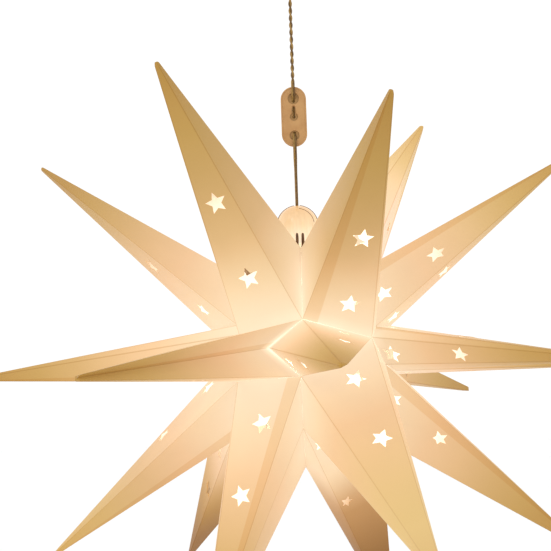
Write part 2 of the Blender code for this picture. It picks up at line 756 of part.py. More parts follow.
# --- the whole object ---------------------------------------------------------------------------
def main():
    for leftover in list(bpy.data.objects):
        bpy.data.objects.remove(leftover)
    parts = new_collection("star_lantern")
    cutters = new_collection("star_lantern_cutters")
    cutters.hide_render = True
    finishes = {
        "film": material("golden film", (0.86, 0.62, 0.33), 0.45),
        "flex": material("flex", (0.34, 0.24, 0.12), 0.40),
        "plate": material("hanger plate", (0.66, 0.47, 0.27), 0.35),
        "cap": material("clear cap", (0.92, 0.80, 0.60), 0.20),
        "white": material("white plastic", (0.86, 0.84, 0.80), 0.40),
        "clear": material("clear plastic", (0.80, 0.76, 0.68), 0.25),
        "brown": material("browned steel", (0.20, 0.12, 0.07), 0.35, 1.0),
        "steel": material("nickel", (0.62, 0.60, 0.57), 0.28, 1.0),
        "brass": material("brass", (0.72, 0.53, 0.24), 0.30, 1.0),
        "globe": material("frosted glass", (0.96, 0.94, 0.88), 0.30),
    }
    make_rose_base(finishes, parts, cutters)
    make_rose_cover(finishes["white"], parts)
    make_cord_grip(finishes["clear"], parts)
    flex = make_flex(finishes["flex"], parts)
    plate = make_plate(finishes["plate"], parts)
    lamp = [make_holder_cap(finishes["cap"], parts)]
    lamp += make_holder(finishes, parts)
    lamp += make_bulb(finishes, parts)
    lamp.append(make_carrier(finishes["brown"], parts))
    lamp += make_points(finishes["film"], parts, cutters)
    lamp += make_clips(finishes["brown"], parts)
    swing = axis_empty("flex_swing_axis", SWING_LEVEL, parts)
    nod = axis_empty("star_nod_axis", NOD_LEVEL, parts)
    hang_from(nod, lamp)
    hang_from(swing, [flex, plate, nod])


main()
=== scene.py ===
"""Looks of the lit star lantern: folded film points, their clips, the twin flex and the lamp parts."""
import math

import bmesh
import bpy
from mathutils import Matrix, Vector
import numpy as np


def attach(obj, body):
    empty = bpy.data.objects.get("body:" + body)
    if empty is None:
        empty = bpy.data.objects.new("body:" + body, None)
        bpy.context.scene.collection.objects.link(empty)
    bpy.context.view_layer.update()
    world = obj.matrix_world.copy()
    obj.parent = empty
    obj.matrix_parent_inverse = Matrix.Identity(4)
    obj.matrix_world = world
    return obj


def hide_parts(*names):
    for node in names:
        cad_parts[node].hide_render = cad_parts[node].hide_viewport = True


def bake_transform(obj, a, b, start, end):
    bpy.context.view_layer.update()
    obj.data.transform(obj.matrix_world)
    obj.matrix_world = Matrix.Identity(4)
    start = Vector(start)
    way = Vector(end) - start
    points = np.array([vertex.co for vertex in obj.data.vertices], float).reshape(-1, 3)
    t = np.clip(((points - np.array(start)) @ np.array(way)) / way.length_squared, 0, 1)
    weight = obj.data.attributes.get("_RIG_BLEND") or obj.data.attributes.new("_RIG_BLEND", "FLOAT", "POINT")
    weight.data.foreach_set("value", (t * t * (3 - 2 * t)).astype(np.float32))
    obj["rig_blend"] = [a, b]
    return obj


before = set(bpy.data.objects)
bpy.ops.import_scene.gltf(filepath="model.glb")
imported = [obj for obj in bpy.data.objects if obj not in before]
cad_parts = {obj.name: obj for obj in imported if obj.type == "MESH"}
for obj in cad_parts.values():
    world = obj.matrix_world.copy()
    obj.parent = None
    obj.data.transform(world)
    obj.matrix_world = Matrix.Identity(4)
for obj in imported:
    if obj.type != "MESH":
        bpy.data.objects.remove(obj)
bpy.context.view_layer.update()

# --- the star's design, as in the CAD source, in metres ---
CENTRE = Vector((0.0, 0.0, -0.378))
TIP_RADIUS = 0.303
FILM = 0.0005                # folded film
FILM_GAP = 0.00004           # each point stands this far back from the joint plane
TAB_DEPTH = 0.011
TAB_SHORTEST = 0.022

STAR_OUTER = 0.0100          # the punched five-pointed stars
STAR_INNER = 0.0047
STAR_PLACES = (0.115, 0.39)  # along a face, from its base edge to the tip
STAR_CLEAR = 0.0115          # least distance from a star's middle to a fold

NOSE = 0.0036                # radius of the rounded tips
FOLD = 0.0009                # half the width of a rounded fold
BOW = 0.0007                 # how far the film bows out between its folds
FLAP_SHARE = 0.21            # width of the glued flap, as a share of its face
FLAP_EDGE = 0.0003
# Vertex marks that the film's material reads: painted shade along folds and where two layers lie, and painted
# glow along the base.
MARKS = ("fold", "layers", "base")
BASE_ROWS = (0.0045, 0.0120) # rows of the mesh near a point's base, where it glows most
WHITE = (1.0, 1.0, 1.0)
GLOW_SPAN = (0.085, 0.305)   # distances from the star's centre between which the film's glow fades
BRIGHT_POINT = (0.35, -0.73, -0.59)  # direction of the point that glows most, low at the front right
# Painted light and shade on whole points: a direction, how close to it the painting starts and is full, from
# where to where up the point, and the colour that multiplies the film's colour and light.
POINT_LIGHT_AND_SHADE = (
    ((0.0, 0.55, -0.83), 0.70, 0.93, 0.25, 0.80, (0.60, 0.48, 0.34)),
    ((-0.05, -0.55, 0.83), 0.70, 0.90, 0.02, 0.30, (0.80, 0.79, 0.66)),
    ((-0.05, -0.55, 0.83), 0.70, 0.90, 0.45, 0.85, (1.13, 1.15, 1.25)),
    ((0.43, 0.48, 0.76), 0.82, 0.95, 0.05, 0.55, (1.45, 1.62, 2.30)),
    ((-0.79, 0.15, -0.59), 0.85, 0.97, 0.45, 0.95, (1.38, 1.50, 1.70)),
    ((0.82, -0.04, 0.57), 0.90, 0.98, 0.15, 0.50, (1.10, 1.16, 1.28)),
    ((-0.41, 0.63, -0.66), 0.94, 0.99, 0.20, 0.60, (0.92, 0.80, 0.42)),
    ((0.27, 0.44, -0.86), 0.80, 0.93, 0.00, 0.30, (0.62, 0.50, 0.34)),
)
# How much the film glows along its base at some corners.
BASE_GLOW = {"pleat": 1.0, "upper_a": 0.3, "upper_b": 0.3, "lower_a": 0.15}

CLIP_LENGTH = 0.012
CLIP_DEPTH = 0.0070
CLIP_WALL = 0.0006
CLIP_PLAY = 0.0003           # space between a clip and its tabs
CLIP_FLARE = 0.0006          # how far its lips turn out, and over what height
CLIP_LIP = 0.0014
# The faces of a clip's end, by their places in its outline.
CLIP_END = ((1, 2, 3, 4), (0, 1, 4, 5), (13, 0, 5, 6), (13, 6, 7), (8, 13, 7),
            (9, 12, 13, 8), (10, 11, 12, 9))

# Corners of the star's core: elevation, azimuth and distance from the centre. A name that ends in "_"
# is the same corner after a half turn.
CORNERS = {
    "mouth_a": (71, 4, 0.104),
    "mouth_b": (71, 88, 0.104),
    "shoulder": (52, 87, 0.104),
    "upper_a": (22, 1, 0.088),
    "upper_b": (10, 46, 0.088),
    "upper_c": (16, 50, 0.090),
    "upper_d": (17, 76, 0.088),
    "upper_e": (20, -43, 0.088),
    "upper_f": (14, -40, 0.088),
    "pleat": (6, -20, 0.086),
    "lower_a": (-11, -1, 0.088),
    "lower_b": (-13, -42, 0.088),
    "lower_c": (-10, 76, 0.088),
    "lower_d": (-6, 58, 0.088),
    "hip": (-43, -1, 0.092),
    "haunch": (-48, 85, 0.104),
    "keel": (-90, 0, 0.101),
}

OUTLINES = {
    "crown": ("mouth_a", "mouth_b_", "shoulder_", "upper_e", "upper_f", "upper_a"),
    "brow": ("mouth_a", "upper_a", "upper_b", "upper_c", "shoulder", "mouth_b"),
    "temple": ("shoulder", "upper_c", "upper_d", "upper_e_"),
    "left": ("upper_e", "upper_d_", "lower_c_", "lower_b", "upper_f"),
    "front_left": ("upper_a", "upper_f", "lower_b", "lower_a", "pleat"),
    "front": ("upper_a", "pleat", "lower_a", "upper_b"),
    "front_right": ("upper_c", "upper_b", "lower_d", "lower_c", "upper_d"),
    "keel": ("lower_b", "haunch_", "hip_", "keel", "hip", "lower_a"),
    "shin": ("lower_a", "hip", "haunch", "lower_d", "upper_b"),
    "calf": ("lower_c", "lower_d", "haunch", "lower_b_"),
}

MOUTH_JOINTS = (("mouth_a", "upper_a"), ("mouth_b", "shoulder"))

# Base outline, turned or not, tip elevation and azimuth, punched faces, and the face that shows the
# glued flap at its first fold.
POINTS = (
    ("crown", False, 58, -47, (2, 4, 0), 1),
    ("brow", False, 43.6, 21, (1, 4), 1),
    ("temple", False, 35, 87, (0, 1), 0),
    ("left", False, -2, -87, (0, 2), 3),
    ("front_left", False, -2, -34.5, (1, 2), 4),
    ("front", False, -1.3, 5.4, (3, 1), 2),
    ("front_right", False, -1.6, 50, (1, 4), 0),
    ("keel", False, -62.5, -42.5, (5, 0), 5),
    ("shin", False, -36, 25, (4, 1), 2),
    ("calf", False, -36, 91, (1, 3), 1),
    ("crown", True, 49.7, 138, (2, 4, 0), 4),
    ("brow", True, 44, -158, (1, 4), 1),
    ("temple", True, 37.6, -94, (1, 2), 1),
    ("left", True, -3, 100, (0, 2), 3),
    ("front_left", True, -7.6, 144, (1, 2), 2),
    ("front", True, -2, -174, (3, 1), 2),
    ("front_right", True, -2, -128, (1, 4), 0),
    ("keel", True, -59, 148.5, (1, 4), 5),
    ("shin", True, -41.5, -147, (4, 2), 0),
    ("calf", True, -36, -101, (3, 1), 2),
)

# Points whose two stars stand at other heights, and faces whose stars stand off the middle.
OTHER_PLACES = {
    1: (0.192, 0.484), 2: (0.120, 0.415), 3: (0.055, 0.330), 7: (0.060, 0.410), 8: (0.155, 0.405),
    9: (0.130, 0.410), 10: (0.050, 0.290), 18: (0.070, 0.360), 19: (0.190, 0.470), 20: (0.055, 0.330),
}
OFF_MIDDLE = {
    (2, 1): 0.60, (3, 0): 0.60, (6, 3): 0.40, (7, 1): 0.65, (8, 5): 0.38,
    (9, 4): 0.40, (10, 1): 0.31, (18, 1): 0.85, (19, 2): 0.25, (20, 3): 0.80,
}

# --- hanger plate, flex and lamp sizes, as in the CAD source ---
CORD = 0.0028
CORD_CLEAR = 0.0004
CROSSING_HEIGHT = 0.0105
CORE = 0.0019                # each insulated conductor of the twin flex
CORE_APART = 0.0016
LOW_TURN = 55                # degrees the flex stands turned from flat, below the plate
TWIST_PITCH = 0.0135
FLEX_TOP = -0.0165
FLEX_JOIN = -0.0620          # heights where one length of the flex ends and the next starts
FLEX_LOW_JOIN = -0.2180
FLEX_END = -0.2550
WIRE_STEP = 0.0011           # spacing of the rings along the flex and the carrier's wire

PLATE_WIDTH = 0.0236
PLATE_LENGTH = 0.0560
PLATE_THICK = 0.0020
PLATE_RIM = 0.0013           # width of the raised rim, and how much thicker it is
PLATE_RIM_PROUD = 0.0008
PLATE_MIDDLE = -0.1550
PLATE_HOLE = 0.0102
PLATE_HOLE_RISE = 0.0170
PLATE_EXIT = 0.0090
PLATE_EXIT_DROP = 0.0175
KEYHOLE = 0.0074
KEYHOLE_SLOT = 0.0032
KEYHOLE_TOP = 0.0090
KEYHOLE_STEP = 0.0022        # the ledge inside each hole, at the plate's back
FLEX_SLOT = (0.0028, 0.0074) # width and height of the openings in the ledges for the flex
PLATE_RECESSES = ((PLATE_HOLE_RISE, PLATE_HOLE / 2), (-PLATE_EXIT_DROP, PLATE_EXIT / 2),
                  (0.0, KEYHOLE / 2), (KEYHOLE_TOP * 0.55, KEYHOLE_SLOT / 2 + 0.0006),
                  (KEYHOLE_TOP * 0.80, KEYHOLE_SLOT / 2 + 0.0003))

CAP_TOP = 0.1400             # heights from here on are above the star's centre
CAP_RADIUS = 0.0190
CAP_WALL = 0.0020
CAP_BORE = CORD * 0.73
CAP_BOTTOM = 0.1035
HOLDER_RADIUS = 0.0160
HOLDER_TOP = 0.1180
HOLDER_BOTTOM = 0.0720
HOLDER_FLOOR = 0.1000
HOLDER_BEND = 0.0035
GROOVE_STEP = 0.0030         # the grooves round the holder
GROOVE_DEPTH = 0.0005
SOCKET_RADIUS = 0.0139
RING_TOP = 0.0985
RING_RADIUS = 0.0205
RING_HEIGHT = 0.0080
WIRE = 0.0022
CARRIER_RING = 0.0184
CARRIER_LEVEL = 0.1002
ARM_FOOT = 0.0214
ARM_REACH = 0.0296
ARM_DROP = 0.0040
ARM_RISE = 0.0115
ARM_HALF_WIDTH = 0.0026
ARM_TIP = 0.0024             # how far an arm's end hangs below its sides
BULB_TOP = 0.0975
BULB_CAP_RADIUS = 0.0131
BULB_CAP_LENGTH = 0.0240
BULB_THREAD = 0.0036         # pitch of the bulb's thread
THREAD_DEPTH = 0.0010
BULB_NECK = 0.0112
GLOBE_RADIUS = 0.0225
GLOBE_CENTRE = 0.0360
GLOBE_WALL = 0.0012

ROSE_RADIUS = 0.037
ROSE_HEIGHT = 0.026
ROSE_WALL = 0.0020
ROSE_BEND = 0.012
ROSE_MOUTH = 0.0052
GLAND_BORE = 0.00205
GLAND_LENGTH = 0.0124        # below the rose, and how far it stands up inside
GLAND_RISE = 0.0060
FLOOR_LEVEL = -0.95
KEY_PLACE = (-1.6, -1.6, 1.0)
LAMP_DROP = Vector((0.0, 0.0, -0.012))
CAMERA_PLACE = (0.0, -1.4, CENTRE.z)
CAMERA_TARGET = (-0.0220, 0.0, -0.3020)
CAMERA_LENS = 99.1
CAMERA_ROLL = -1.9           # degrees


# --- material nodes ---
class Nodes:
    """A material's node tree, built by short calls."""

    def __init__(self, name):
        self.material = bpy.data.materials.new(name)
        self.material.use_nodes = True
        self.tree = self.material.node_tree
        self.shader = self.tree.nodes["Principled BSDF"]

    def add(self, kind, *values, **settings):
        """A new node with its settings, and values fed to its first inputs."""
        node = self.tree.nodes.new("ShaderNode" + kind)
        for key, value in settings.items():
            setattr(node, key, value)
        for socket, value in zip(node.inputs, values):
            self.feed(socket, value)
        return node

    def feed(self, socket, value):
        if isinstance(value, bpy.types.NodeSocket):
            self.tree.links.new(value, socket)
        elif socket.type == "RGBA":
            socket.default_value = (*value, 1.0)
        else:
            socket.default_value = value

    def math(self, operation, a, b):
        return self.add("Math", a, b, operation=operation).outputs[0]

    def vector(self, operation, *values):
        node = self.add("VectorMath", *values, operation=operation)
        return node.outputs["Value" if operation in ("LENGTH", "DOT_PRODUCT") else "Vector"]

    def place(self, output="Object"):
        return self.add("TexCoord").outputs[output]

    def axes(self):
        return self.add("SeparateXYZ", self.place()).outputs

    def span(self, value, low, high, to_low=0.0, to_high=1.0):
        return self.add("MapRange", value, low, high, to_low, to_high).outputs["Result"]

    def grain(self, noise, low=0.0, high=1.0):
        """A noise spread from low to high."""
        return self.span(noise, 0.3, 0.7, low, high)

    def ramp(self, value, stops):
        node = self.add("ValToRGB", value)
        elements = node.color_ramp.elements
        while len(elements) < len(stops):
            elements.new(0.5)
        for element, (position, colour) in zip(elements, stops):
            element.position = position
            element.color = (*colour, 1.0)
        return node.outputs["Color"]

    def noise(self, scale, detail=2.0, place=None):
        node = self.add("TexNoise", self.place() if place is None else place)
        node.inputs["Scale"].default_value = scale
        node.inputs["Detail"].default_value = detail
        return node.outputs["Fac"]

    def stretched_noise(self, *scale):
        """Noise drawn out along the object's axes."""
        node = self.add("Mapping", self.place())
        node.inputs["Scale"].default_value = scale
        return self.noise(1.0, place=node.outputs["Vector"])

    def tint(self, colour, value):
        """colour times a value."""
        node = self.add("VectorMath", colour, operation="SCALE")
        self.feed(node.inputs["Scale"], value)
        return node.outputs["Vector"]

    def mix(self, share, a, b):
        node = self.add("Mix", data_type="RGBA")
        for name, value in (("Factor", share), ("A", a), ("B", b)):
            self.feed(node.inputs[name], value)
        return node.outputs["Result"]

    def attribute(self, name):
        return self.add("Attribute", attribute_name=name).outputs["Fac"]

    def bump(self, height, strength, distance):
        node = self.add("Bump")
        node.inputs["Strength"].default_value = strength
        node.inputs["Distance"].default_value = distance
        self.feed(node.inputs["Height"], height)
        self.feed(self.shader.inputs["Normal"], node.outputs["Normal"])

    def set(self, **values):
        for key, value in values.items():
            self.feed(self.shader.inputs[key.replace("_", " ")], value)

    def finish(self, fine, low, high, relief=0.0, depth=0.0):
        """Roughness and, where asked for, relief from one fine noise; returns the material."""
        self.set(Roughness=self.grain(fine, low, high))
        if relief:
            self.bump(fine, relief, depth)
        return self.material


# --- materials ---
def film_material():
    """Golden film, its light from the lamp painted in as glow and base colour: brightest round the lamp and
    on faces turned to it, with painted light and shade on some points, and painted shade where two layers lie
    together and along the folds.
    """
    m = Nodes("golden film")
    place = m.place()
    outward = m.vector("NORMALIZE", place)
    along = m.span(m.vector("LENGTH", place), *GLOW_SPAN)
    # Painted light: the film's light is stronger on faces turned out from the lamp.
    lamp_facing_light = m.span(m.vector("DOT_PRODUCT", outward, m.place("Normal")), 0.0, 0.55, 0.88, 1.10)
    cloud = m.grain(m.noise(26.0, 3.0), 0.97, 1.03)
    glow = m.ramp(along, (
        (0.00, (0.520, 0.445, 0.345)), (0.12, (0.505, 0.385, 0.265)), (0.25, (0.485, 0.315, 0.195)),
        (0.40, (0.385, 0.250, 0.138)), (0.55, (0.290, 0.188, 0.092)), (0.70, (0.215, 0.140, 0.056)),
        (0.85, (0.160, 0.096, 0.036)), (1.00, (0.115, 0.065, 0.015)),
    ))
    # Base colour painted paler towards the lamp at the star's centre: painted light over the film's gold.
    tint_and_lamplight = m.ramp(along, (
        (0.00, (0.44, 0.33, 0.200)), (0.12, (0.43, 0.31, 0.165)), (0.25, (0.41, 0.275, 0.130)),
        (0.40, (0.40, 0.25, 0.100)), (0.55, (0.38, 0.23, 0.070)), (0.70, (0.36, 0.21, 0.050)),
        (0.85, (0.35, 0.195, 0.040)), (1.00, (0.34, 0.185, 0.035)),
    ))
    # Painted shade: darker where two layers lie together and along the folds, for less light coming through
    # there.
    painted_light_and_shade = m.vector("MULTIPLY", m.mix(m.attribute("layers"), WHITE, (0.94, 0.86, 0.75)),
                    m.mix(m.attribute("fold"), WHITE, (0.80, 0.72, 0.60)))
    # Painted light and shade on whole points, by the direction they point in.
    for aim, low, high, near, far, colour in POINT_LIGHT_AND_SHADE:
        turned = m.span(m.vector("DOT_PRODUCT", outward, aim), low, high)
        share = m.math("MULTIPLY", turned, m.span(along, near, far))
        painted_light_and_shade = m.vector("MULTIPLY", painted_light_and_shade, m.mix(share, WHITE, colour))
    bright = m.math("MULTIPLY", m.span(m.vector("DOT_PRODUCT", outward, BRIGHT_POINT), 0.80, 0.97),
                    m.span(along, 0.25, 0.75))
    light = m.vector("MULTIPLY", painted_light_and_shade, m.tint(glow, m.math("MULTIPLY", lamp_facing_light, cloud)))
    light = m.vector("ADD", light, m.tint((0.22, 0.21, 0.13), bright))
    light = m.vector("ADD", light, m.tint((0.42, 0.42, 0.38), m.attribute("base")))
    m.set(Base_Color=m.vector("MULTIPLY", tint_and_lamplight, painted_light_and_shade), Emission_Color=light, Emission_Strength=1.0,
          Specular_IOR_Level=0.25)
    return m.finish(m.noise(1400.0), 0.42, 0.54, 0.12, 0.0004)


def film_inside_material():
    """The film's inner face, lit by the bulb itself."""
    m = Nodes("film inside")
    along = m.span(m.vector("LENGTH", m.place()), *GLOW_SPAN)
    glow = m.ramp(along, (
        (0.00, (0.98, 0.92, 0.86)), (0.28, (0.88, 0.80, 0.72)), (0.38, (0.62, 0.50, 0.40)),
        (0.46, (0.36, 0.25, 0.16)), (0.65, (0.20, 0.13, 0.07)), (1.00, (0.12, 0.07, 0.03)),
    ))
    m.set(Base_Color=(0.42, 0.34, 0.24), Emission_Color=glow, Emission_Strength=1.0)
    return m.finish(m.noise(1400.0), 0.50, 0.62)


def plastic_material(name, colour, roughness, patches=60.0, glow=None):
    """Moulded plastic; glow is its light at the cap's bottom and top, where the lamp shines through."""
    m = Nodes(name)
    mottle = m.grain(m.noise(patches, 3.0), 0.96, 1.03)
    m.set(Base_Color=m.tint(colour, mottle))
    if glow:
        level = m.span(m.axes()["Z"], CAP_BOTTOM, CAP_TOP)
        light = m.ramp(level, ((0.0, glow[0]), (1.0, glow[1])))
        m.set(Emission_Color=m.tint(light, mottle), Emission_Strength=1.0)
    return m.finish(m.noise(900.0), roughness - 0.05, roughness + 0.06, 0.06, 0.0003)


def cap_material():
    """Thin amber-tinted cap, lit from the star's inside: its glow and base colour are painted paler towards
    its bottom, near the lamp, and deeper in colour towards its top.
    """
    m = Nodes("tinted cap")
    level = m.span(m.axes()["Z"], CAP_BOTTOM, CAP_TOP)
    streaks = m.grain(m.stretched_noise(420.0, 420.0, 60.0), 0.92, 1.08)
    glow = m.ramp(level, ((0.0, (0.80, 0.66, 0.50)), (0.5, (0.56, 0.41, 0.25)), (1.0, (0.38, 0.21, 0.085))))
    # Base colour painted paler near the lamp: painted light over the cap's amber tint.
    tint_and_lamplight = m.ramp(level, ((0.0, (0.52, 0.45, 0.34)), (0.5, (0.46, 0.34, 0.20)), (1.0, (0.46, 0.29, 0.13))))
    m.set(Base_Color=tint_and_lamplight, Emission_Color=m.tint(glow, streaks), Emission_Strength=1.0,
          Specular_IOR_Level=0.6)
    return m.finish(m.noise(240.0), 0.14, 0.24)


def metal_material(name, colour, roughness, wear):
    m = Nodes(name)
    m.set(Base_Color=m.mix(m.span(m.noise(300.0, 4.0), 0.35, 0.7), colour, wear), Metallic=1.0)
    scratch = m.stretched_noise(2600.0, 2600.0, 300.0)
    return m.finish(scratch, roughness - 0.07, roughness + 0.10, 0.10, 0.0001)


def flex_material(name, colour, dark):
    """Soft clear-brown sheath over stranded copper."""
    m = Nodes(name)
    strand = m.stretched_noise(900.0, 900.0, 420.0)
    m.set(Base_Color=m.mix(m.span(strand, 0.35, 0.65), dark, colour), Specular_IOR_Level=0.30)
    m.bump(strand, 0.15, 0.0002)
    return m.finish(m.noise(1500.0), 0.40, 0.52)


def plate_material():
    """Tan moulded plastic, with painted shade in its recesses, where it is thin and shaded."""
    m = Nodes("hanger plate")
    plain = m.mix(m.grain(m.noise(90.0, 4.0)), (0.465, 0.245, 0.086), (0.54, 0.305, 0.115))
    axes = m.axes()
    recess_shade = None
    for height, radius in PLATE_RECESSES:
        offset = m.add("CombineXYZ", axes["X"], 0.0, m.math("SUBTRACT", axes["Z"], PLATE_MIDDLE + height))
        away = m.vector("LENGTH", offset.outputs["Vector"])
        inside = m.span(away, radius - 0.0002, radius + 0.0004, 1.0, 0.0)
        recess_shade = inside if recess_shade is None else m.math("MAXIMUM", recess_shade, inside)
    # Painted shade: the recesses darker than the plate's face.
    m.set(Base_Color=m.mix(recess_shade, plain, (0.34, 0.185, 0.055)), Specular_IOR_Level=0.4)
    return m.finish(m.noise(1100.0), 0.34, 0.46, 0.08, 0.0003)


def globe_material():
    """Frosted glass, lit."""
    m = Nodes("frosted globe")
    patch = m.grain(m.noise(60.0), 0.94, 1.06)
    m.set(Base_Color=(0.95, 0.93, 0.88), Emission_Color=m.tint((1.0, 0.86, 0.62), patch),
          Emission_Strength=2.2)
    return m.finish(m.noise(1800.0), 0.45, 0.60, 0.15, 0.0002)


def stem_material():
    m = Nodes("led stem")
    patch = m.grain(m.noise(400.0), 0.9, 1.1)
    m.set(Base_Color=(0.9, 0.86, 0.76), Emission_Color=m.tint((1.0, 0.82, 0.55), patch),
          Emission_Strength=3.0, Roughness=0.5)
    return m.material


# --- mesh helpers ---
def direction(elevation, azimuth):
    up = math.radians(elevation)
    round_z = math.radians(azimuth)
    return Vector((math.cos(up) * math.sin(round_z), -math.cos(up) * math.cos(round_z), math.sin(up)))


def corner(name, turn):
    elevation, azimuth, distance = CORNERS[name.rstrip("_")]
    half_turn = name.endswith("_") != turn
    return direction(elevation, azimuth + (180 if half_turn else 0)) * distance


def linked(name, data, place=(0.0, 0.0, 0.0)):
    made = bpy.data.objects.new(name, data)
    made.location = place
    bpy.context.scene.collection.objects.link(made)
    return made


def new_object(name, mesh, materials, place=(0.0, 0.0, 0.0)):
    slots = [face.material_index for face in mesh.polygons]
    mesh.materials.clear()
    for finish in materials:
        mesh.materials.append(finish)
    for face, slot in zip(mesh.polygons, slots):
        face.material_index = slot
    return linked(name, mesh, place)


def placed(piece, body, slot, *nodes):
    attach(piece, body)
    if nodes:
        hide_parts(*nodes)


def from_bmesh(work, name):
    mesh = bpy.data.meshes.new(name)
    work.to_mesh(mesh)
    work.free()
    return mesh


def smooth(mesh, angle):
    for face in mesh.polygons:
        face.use_smooth = True
    mesh.set_sharp_from_angle(angle=math.radians(angle))


def closed_mesh(work, name, angle):
    """The mesh of a closed shape, smooth but for edges sharper than the angle."""
    bmesh.ops.recalc_face_normals(work, faces=work.faces)
    mesh = from_bmesh(work, name)
    smooth(mesh, angle)
    return mesh


def baked(name, drawn):
    """The mesh of a drawn object with its modifiers; the object itself goes."""
    bpy.context.view_layer.update()
    graph = bpy.context.evaluated_depsgraph_get()
    mesh = bpy.data.meshes.new_from_object(drawn.evaluated_get(graph), depsgraph=graph)
    mesh.name = name
    bpy.data.objects.remove(drawn)
    return mesh


def curve_mesh(name, lines, closed, **settings):
    """The mesh of a curve through lines of points."""
    curve = bpy.data.curves.new(name, "CURVE")
    for key, value in settings.items():
        setattr(curve, key, value)
    for line in lines:
        spline = curve.splines.new("POLY")
        spline.points.add(len(line) - 1)
        for spot, point in zip(line, spline.points):
            point.co = (*spot, 1.0)
        spline.use_cyclic_u = closed
    return baked(name, linked(name + "_line", curve))


def join_rings(work, first, second):
    """The faces between two rings of vertices, of which either may be a single vertex."""
    faces = []
    steps = max(len(first), len(second))
    for k in range(steps):
        n = (k + 1) % steps
        loop = [first[k % len(first)], first[n % len(first)],
                second[n % len(second)], second[k % len(second)]]
        corners = list(dict.fromkeys(loop))
        if len(corners) > 2:
            faces.append(work.faces.new(corners))
    return faces


def lathe(name, profile, materials, place=CENTRE, steps=64):
    """Turn a profile of (radius, height) about Z; it is closed, or both its ends are on the axis."""
    work = bmesh.new()
    rings = []
    for radius, height in profile:
        turns = [2 * math.pi * k / steps for k in range(steps if radius else 1)]
        rings.append([work.verts.new((radius * math.cos(t), radius * math.sin(t), height)) for t in turns])
    for first, second in zip(rings, rings[1:] + rings[:1]):
        join_rings(work, first, second)
    return new_object(name, closed_mesh(work, name, 40.0), materials, place)


def arc(radius, centre, first, last, count, middle=0.0):
    """Points of (radius, height) on an arc, angles in degrees from the horizontal."""
    turns = [math.radians(first + (last - first) * k / (count - 1)) for k in range(count)]
    return [(middle + radius * math.cos(turn), centre + radius * math.sin(turn)) for turn in turns]


def smooth_path(route, spacing, cyclic=False):
    """Points at an even spacing along a Catmull-Rom curve through the route."""
    knots = [Vector(spot) for spot in route]
    if cyclic:
        ends = [knots[-1]] + knots + [knots[0], knots[1]]
    else:
        ends = [2 * knots[0] - knots[1]] + knots + [2 * knots[-1] - knots[-2]]
    dense = []
    for i in range(1, len(ends) - 2):
        a, b, c, d = ends[i - 1:i + 3]
        for step in range(24):
            t = step / 24
            dense.append(0.5 * (2 * b + (c - a) * t + (2 * a - 5 * b + 4 * c - d) * t ** 2
                                + (3 * b - a - 3 * c + d) * t ** 3))
    dense.append(knots[0] if cyclic else knots[-1])
    lengths = [0.0]
    for before, after in zip(dense, dense[1:]):
        lengths.append(lengths[-1] + (after - before).length)
    count = max(2, round(lengths[-1] / spacing) + 1)
    path = []
    for wanted in np.linspace(0.0, lengths[-1], count):
        i = min(max(int(np.searchsorted(lengths, wanted)), 1), len(dense) - 1)
        share = (wanted - lengths[i - 1]) / (lengths[i] - lengths[i - 1])
        path.append(dense[i - 1].lerp(dense[i], share))
    return path[:-1] if cyclic else path


# --- film points ---
def inset_outline(outline):
    """Move each corner in from the joint planes, which pass through the star's centre."""
    count = len(outline)
    inward = [outline[i].cross(outline[(i + 1) % count]).normalized() for i in range(count)]
    moved = []
    for i, spot in enumerate(outline):
        rows = np.array([inward[i - 1], inward[i], spot.normalized()])
        shift = np.linalg.lstsq(rows, np.array([FILM_GAP, FILM_GAP, 0.0]), rcond=0.05)[0]
        moved.append(spot + Vector(shift))
    return moved


def stations(length, places):
    """Shares of the way up a point where it has a row of the mesh, and the first row of each star."""
    half = STAR_CLEAR / length
    rows = [0.0] + [depth / length for depth in BASE_ROWS if depth / length < places[0] - half - 0.01]
    first_rows = []
    for place in places:
        if len(rows) > 3 + len(first_rows):
            rows.append((rows[-1] + place - half) / 2)
        first_rows.append(len(rows))
        rows += [place - half, place, place + half]
    last = rows[-1]
    rows += [last + (1.0 - last) * step for step in (0.2, 0.4, 0.6, 0.8, 1.0)]
    return rows, first_rows


def section_places(outline, tip, places):
    """Rows of (middle, scale) from the base to the rounded tip."""
    middle = sum(outline, Vector()) / len(outline)
    size = sum((spot - middle).length for spot in outline) / len(outline)
    length = (tip - middle).length
    axis = (tip - middle) / length
    small = NOSE / size
    end = tip - axis * NOSE
    shares, first_rows = stations(length, places)
    rows = [(middle.lerp(end, share), 1.0 + (small - 1.0) * share) for share in shares]
    for degrees in (30, 55, 75):
        turn = math.radians(degrees)
        rows.append((end + axis * NOSE * math.sin(turn), small * math.cos(turn)))
    return middle, shares, first_rows, rows


def face_columns(length, flapped, aside):
    """Shares across a face where it has a column of the mesh, and how doubled the film is there."""
    fold = min(FOLD, 0.12 * length) / length
    columns = [(fold, 1.0 if flapped else 0.0)]
    start = 0.0
    if flapped:
        edge = min(FLAP_EDGE, 0.02 * length) / length
        columns += [(FLAP_SHARE - edge, 1.0), (FLAP_SHARE + edge, 0.0)]
        start = FLAP_SHARE
    middle = (1.0 + start) / 2
    clear = min(STAR_CLEAR / length, (1.0 - start) / 2)
    if aside is not None:
        middle = min(max(aside, start + clear), 1.0 - clear)
    room = min(middle - start, 1.0 - middle) - 1.2 * fold
    half = min(max(0.60 * room, STAR_CLEAR / length), room)
    columns += [(middle - half, 0.0), (middle, 0.0), (middle + half, 0.0), (1.0 - fold, 0.0)]
    return columns


